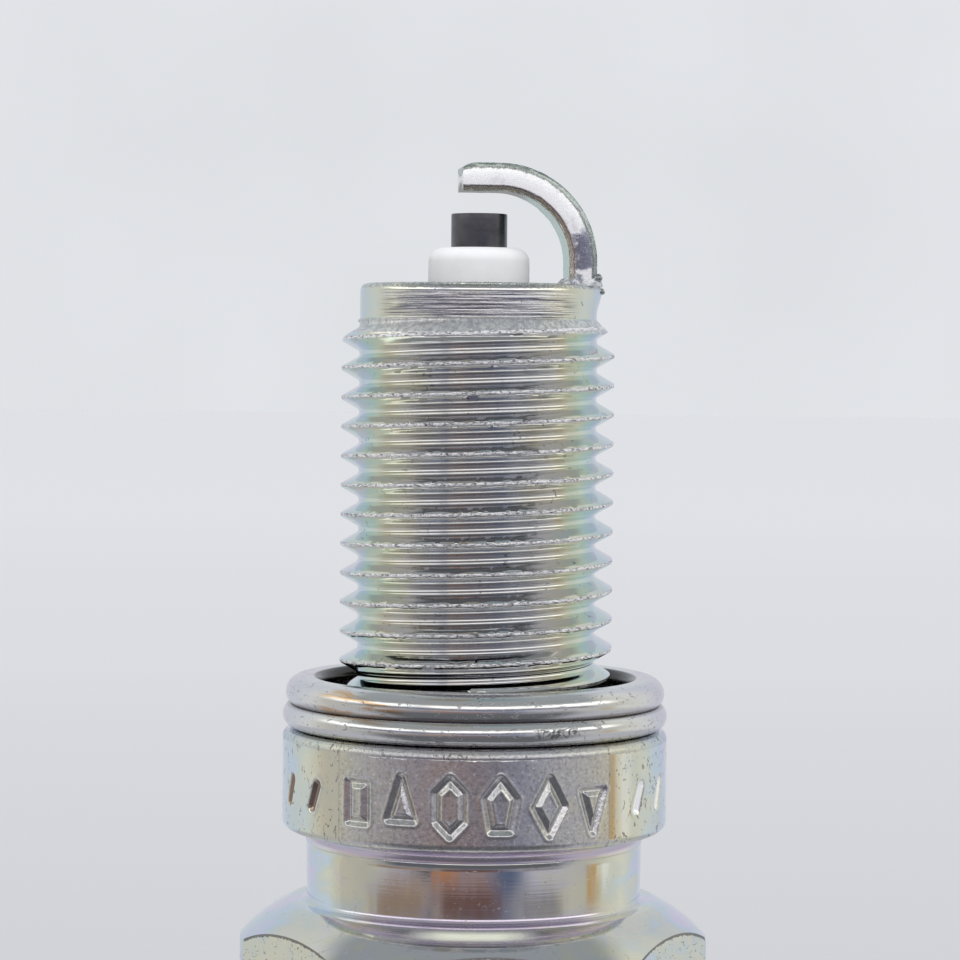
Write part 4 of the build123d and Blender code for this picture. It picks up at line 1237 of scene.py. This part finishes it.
GLASS_SEAL = dict(dark=(0.10, 0.08, 0.07), light=(0.24, 0.20, 0.17), rough=0.25)
SOFT_STEEL = dict(dark=(0.35, 0.35, 0.36), light=(0.55, 0.55, 0.56), metal=1.0, rough=0.35)
INNER_FINISHES = {
    "copper_core": dict(dark=(0.55, 0.25, 0.14), light=(0.78, 0.42, 0.28), metal=1.0, rough=0.3),
    "lower_glass_seal": GLASS_SEAL,
    "resistor": dict(dark=(0.03, 0.03, 0.03), light=(0.10, 0.10, 0.10), rough=0.7),
    "upper_glass_seal": GLASS_SEAL,
    "packing_washer": SOFT_STEEL,
    "lower_wire_ring": SOFT_STEEL,
    "talc_fill": dict(dark=(0.72, 0.72, 0.69), light=(0.88, 0.88, 0.86), rough=0.95, scale=9.0),
    "upper_wire_ring": SOFT_STEEL,
}


def finish_inner_pieces():
    """Gives each sealed CAD node its own grainy material."""
    for node, look in INNER_FINISHES.items():
        material = grainy(node + "_finish", **look)
        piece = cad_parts[node]
        piece.data.materials.clear()
        piece.data.materials.append(material)


# ---- studio ----

LENS = 121.5
CAMERA_PLACE = (0.13, -139.0, 16.1)
CAMERA_TILT = 2.262  # degrees down
CAMERA_ROLL = 0.52

STUDIO_RING = (  # degrees round from the camera's side, positive towards +X, and the horizon's light there
    (-180, (0.65, 0.68, 0.70)),
    (-150, (0.63, 0.66, 0.70)),
    (-120, (0.72, 0.74, 0.72)),
    (-104, (0.67, 0.66, 0.60)),
    (-96, (0.56, 0.55, 0.52)),
    (-80, (0.50, 0.49, 0.47)),
    (-62, (0.52, 0.52, 0.53)),
    (-46, (0.38, 0.39, 0.44)),
    (-36, (0.33, 0.34, 0.41)),
    (-30, (0.20, 0.21, 0.28)),
    (-25, (0.38, 0.33, 0.31)),
    (-12, (0.34, 0.29, 0.28)),
    (-7, (0.20, 0.20, 0.26)),
    (10, (0.19, 0.20, 0.27)),
    (26, (0.23, 0.25, 0.33)),
    (34, (0.50, 0.50, 0.55)),
    (62, (0.55, 0.54, 0.54)),
    (84, (0.52, 0.51, 0.48)),
    (96, (0.62, 0.61, 0.54)),
    (106, (0.69, 0.68, 0.62)),
    (122, (0.75, 0.76, 0.72)),
    (150, (0.62, 0.64, 0.70)),
    (180, (0.65, 0.68, 0.70)),
)
STUDIO_PANELS = (  # middle bearing, half width, middle elevation, half height, softness in degrees, and light
    (0, 75, 45, 14, 7, (0.33, 0.335, 0.33)),  # dim wall over the window
    (0, 75, 9, 5, 1.5, (0.17, 0.17, 0.21)),  # and under it
    (0, 60, -3.9, 2.0, 0.9, (0.46, 0.46, 0.49)),  # far edge of the bench
    (0, 66, -42, 25, 3, (0.132, 0.136, 0.142)),  # dark bench on the camera's side
    (-72, 36, 22, 7, 2.0, (1.50, 1.50, 1.44)),  # window above the camera, split by a narrow post
    (32, 64, 22, 7, 2.0, (1.60, 1.57, 1.48)),
    (180, 30, 70, 8, 3, (1.60, 1.75, 1.45)),  # soft box over the backdrop
    (-38, 34, 76, 9, 5, (0.25, 0.23, 0.16)),  # dim shelf and blind high over the window
    (36, 36, 78, 9, 5, (0.20, 0.29, 0.30)),
    (-101, 3, -5, 25, 2.5, (0.54, 0.50, 0.46)),
    (-45, 17, -10.5, 2.0, 2.0, (0.42, 0.32, 0.25)),  # brown and blue things low on the camera's side
    (-4, 21, -9.4, 2.8, 2.0, (0.34, 0.25, 0.24)),
    (-19, 8, -7.9, 1.6, 1.2, (0.48, 0.21, 0.085)),
    (-33, 6, -7.2, 1.2, 1.0, (0.05, 0.06, 0.08)),
    (24, 9, -8.4, 2.6, 2.0, (0.11, 0.14, 0.22)),
    (-2, 22, -12.8, 2.4, 1.9, (0.155, 0.085, 0.07)),
    (45, 18, -13.0, 2.4, 2.0, (0.26, 0.25, 0.26)),
    (-52, 20, -13.0, 2.4, 2.0, (0.30, 0.22, 0.16)),
    (89, 4, -9.6, 3.0, 1.2, (0.52, 0.34, 0.15)),
    (100, 5, -8.0, 2.2, 1.5, (0.90, 0.90, 0.90)),
)
PANEL_SIDES = 4.5  # a panel's sides fade over this many times its softness either way
PANEL_ENDS = 1.2  # and its top and bottom over this many
PANEL_WOBBLE = 20.0  # the panels' outlines wander sideways by about this many degrees
PANEL_WOBBLE_UP = 0.18  # and up and down by this share of that
FLOOR_LIGHT = (0.50, 0.50, 0.53)
CEILING_LIGHT = (0.34, 0.37, 0.38)
BACKDROP = (0.745, 0.762, 0.792)
FLOOR_DROP = 9.6  # the floor lies this far under the terminal nut, which needs the room to come off its stud
FLOOR_REACH = 1480.0  # the floor gets paler this far back
FLOOR_SHADES = (  # share of that reach behind the plug, and the floor's albedo there, painted shade that darkens it towards the plug and camera
    (0.1, 0.635),
    (0.25, 0.715),
    (0.45, 0.79),
    (0.9, 0.842),
    (1.0, 0.845),
)
FLOOR_TINT = (1.0, 1.014, 1.038)
LIGHT_PLACE = (0.10, -0.33, 0.45)  # the soft light's place and aim, in metres
LIGHT_AIM = (0, 0, 0.008)
LIGHT_SIZE = 0.35
LIGHT_POWER = 0.75


def make_camera():
    """The camera, level with the thread's top and tilted slightly down."""
    data = bpy.data.cameras.new("camera")
    data.lens = LENS
    data.sensor_width = 36.0
    data.clip_start = 0.01
    data.clip_end = 20.0
    camera = bpy.data.objects.new("camera", data)
    camera.location = [c * MM for c in CAMERA_PLACE]
    camera.rotation_mode = "QUATERNION"
    level = Quaternion((1, 0, 0), math.radians(90 - CAMERA_TILT))
    camera.rotation_quaternion = level @ Quaternion((0, 0, 1), math.radians(CAMERA_ROLL))
    bpy.context.collection.objects.link(camera)
    bpy.context.scene.camera = camera


def add_panels(g, mirrored, bearing, elevation):
    """The room's reflections with each studio panel laid over them."""
    for middle, half_width, height, half_height, soft, light in STUDIO_PANELS:
        off = abs(g.math("WRAP", bearing - middle, 180.0, -180.0))
        fade = PANEL_SIDES * soft
        wide = g.between(off, half_width + fade, half_width - fade)
        fade = PANEL_ENDS * soft
        tall = g.between(abs(elevation - height), half_height + fade, half_height - fade)
        mirrored = g.blend(wide * tall, mirrored, light)
    return mirrored


def make_world():
    """A soft studio: dim on the camera's side, pale behind, with a window and a soft box above.

    Diffuse light comes from a smooth gradient, and only mirror-like reflections see the ring and the panels.
    """
    world = bpy.data.worlds.new("studio")
    bpy.context.scene.world = world
    g = Graph(world)
    direction = g.node("TexCoord", output=0)
    _, y, z = g.split(direction)
    bearing = g.bearing(direction)
    elevation = g.math("ARCSINE", z) * (180 / math.pi)
    ring = [(angle / 360 + 0.5, light) for angle, light in STUDIO_RING]
    ceiling_start = g.between(y, -0.2, 0.3) * 24.0 + 20.0
    mirrored = g.ramp(bearing * (1 / 360) + 0.5, ring)
    mirrored = g.blend(g.between(elevation - ceiling_start, 0.0, 12.0), mirrored, CEILING_LIGHT)
    mirrored = g.blend(g.between(elevation, -15.0, -24.0), mirrored, FLOOR_LIGHT)
    cloud = g.node("TexNoise", {"Vector": direction, "Scale": 14.0, "Detail": 4.0})
    wander = (cloud - 0.5) * PANEL_WOBBLE
    mirrored = add_panels(g, mirrored, bearing + wander, elevation + wander * PANEL_WOBBLE_UP)
    level = z * 0.35 - y * 0.30 + 0.62
    diffused = g.node("CombineXYZ", {0: level, 1: level, 2: level * 1.03})
    light = g.blend(g.node("LightPath", output=2), mirrored, diffused)
    mottle = g.node("TexNoise", {"Vector": direction, "Scale": 9.0, "Detail": 2.0})
    dull, bright = (tuple(share * c for c in BACKDROP) for share in (0.975, 1.04))
    wall = g.blend(g.between(mottle, 0.25, 0.75), dull, bright)
    light = g.blend(g.node("LightPath", output=0), light, wall)
    g.feed(g.tree.nodes["Background"].inputs[0], light)


def make_floor():
    """A wide pale floor under the terminal end, which is clear when it is seen from below."""
    half = 4.0
    corners = [(-half, -half, 0), (half, -half, 0), (half, half, 0), (-half, half, 0)]
    mesh = bpy.data.meshes.new("floor")
    mesh.from_pydata(corners, [], [(0, 1, 2, 3)])
    floor = bpy.data.objects.new("floor", mesh)
    floor.location.z = (NUT_END - FLOOR_DROP) * MM
    bpy.context.collection.objects.link(floor)
    g = new_material("floor_paper")
    stops = [(at, tuple(level * tint for tint in FLOOR_TINT)) for at, level in FLOOR_SHADES]
    # painted shade: the floor's albedo is darker near the plug and paler far back
    shade = g.ramp(g.split(g.place())[1] * (1 / FLOOR_REACH), stops)
    mesh.materials.append(g.finish(shade, 0.9))
    inputs = g.tree.nodes["Principled BSDF"].inputs
    g.feed(inputs["Specular IOR Level"], 0.0)
    g.feed(inputs["Alpha"], 1.0 - g.node("NewGeometry", output=6))
    floor.visible_glossy = False


def make_light():
    """A square soft light in front and overhead, aimed at the middle of the thread."""
    data = bpy.data.lights.new("overhead_soft_light", "AREA")
    data.size = LIGHT_SIZE
    data.energy = LIGHT_POWER
    data.color = (0.95, 0.97, 1.0)
    light = bpy.data.objects.new("overhead_soft_light", data)
    light.location = LIGHT_PLACE
    light.rotation_mode = "QUATERNION"
    light.rotation_quaternion = (Vector(LIGHT_AIM) - Vector(LIGHT_PLACE)).to_track_quat("-Z", "Y")
    light.visible_glossy = False
    bpy.context.collection.objects.link(light)


make_camera()
make_world()
make_floor()
make_light()

for made in (make_shell_thread(), make_shell_flange(), make_shell_hexagon()):
    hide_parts("shell")
make_gasket()
make_strap()
weld_metal = [make_weld_flash()]
weld_metal += [make_spatter(index, *ball) for index, ball in enumerate(SPATTER)]
for made in weld_metal:
    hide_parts("ground_electrode")
make_insulator()
make_centre_pin()
make_stud()
make_nut()
finish_inner_pieces()

bpy.context.scene.view_settings.view_transform = "Standard"
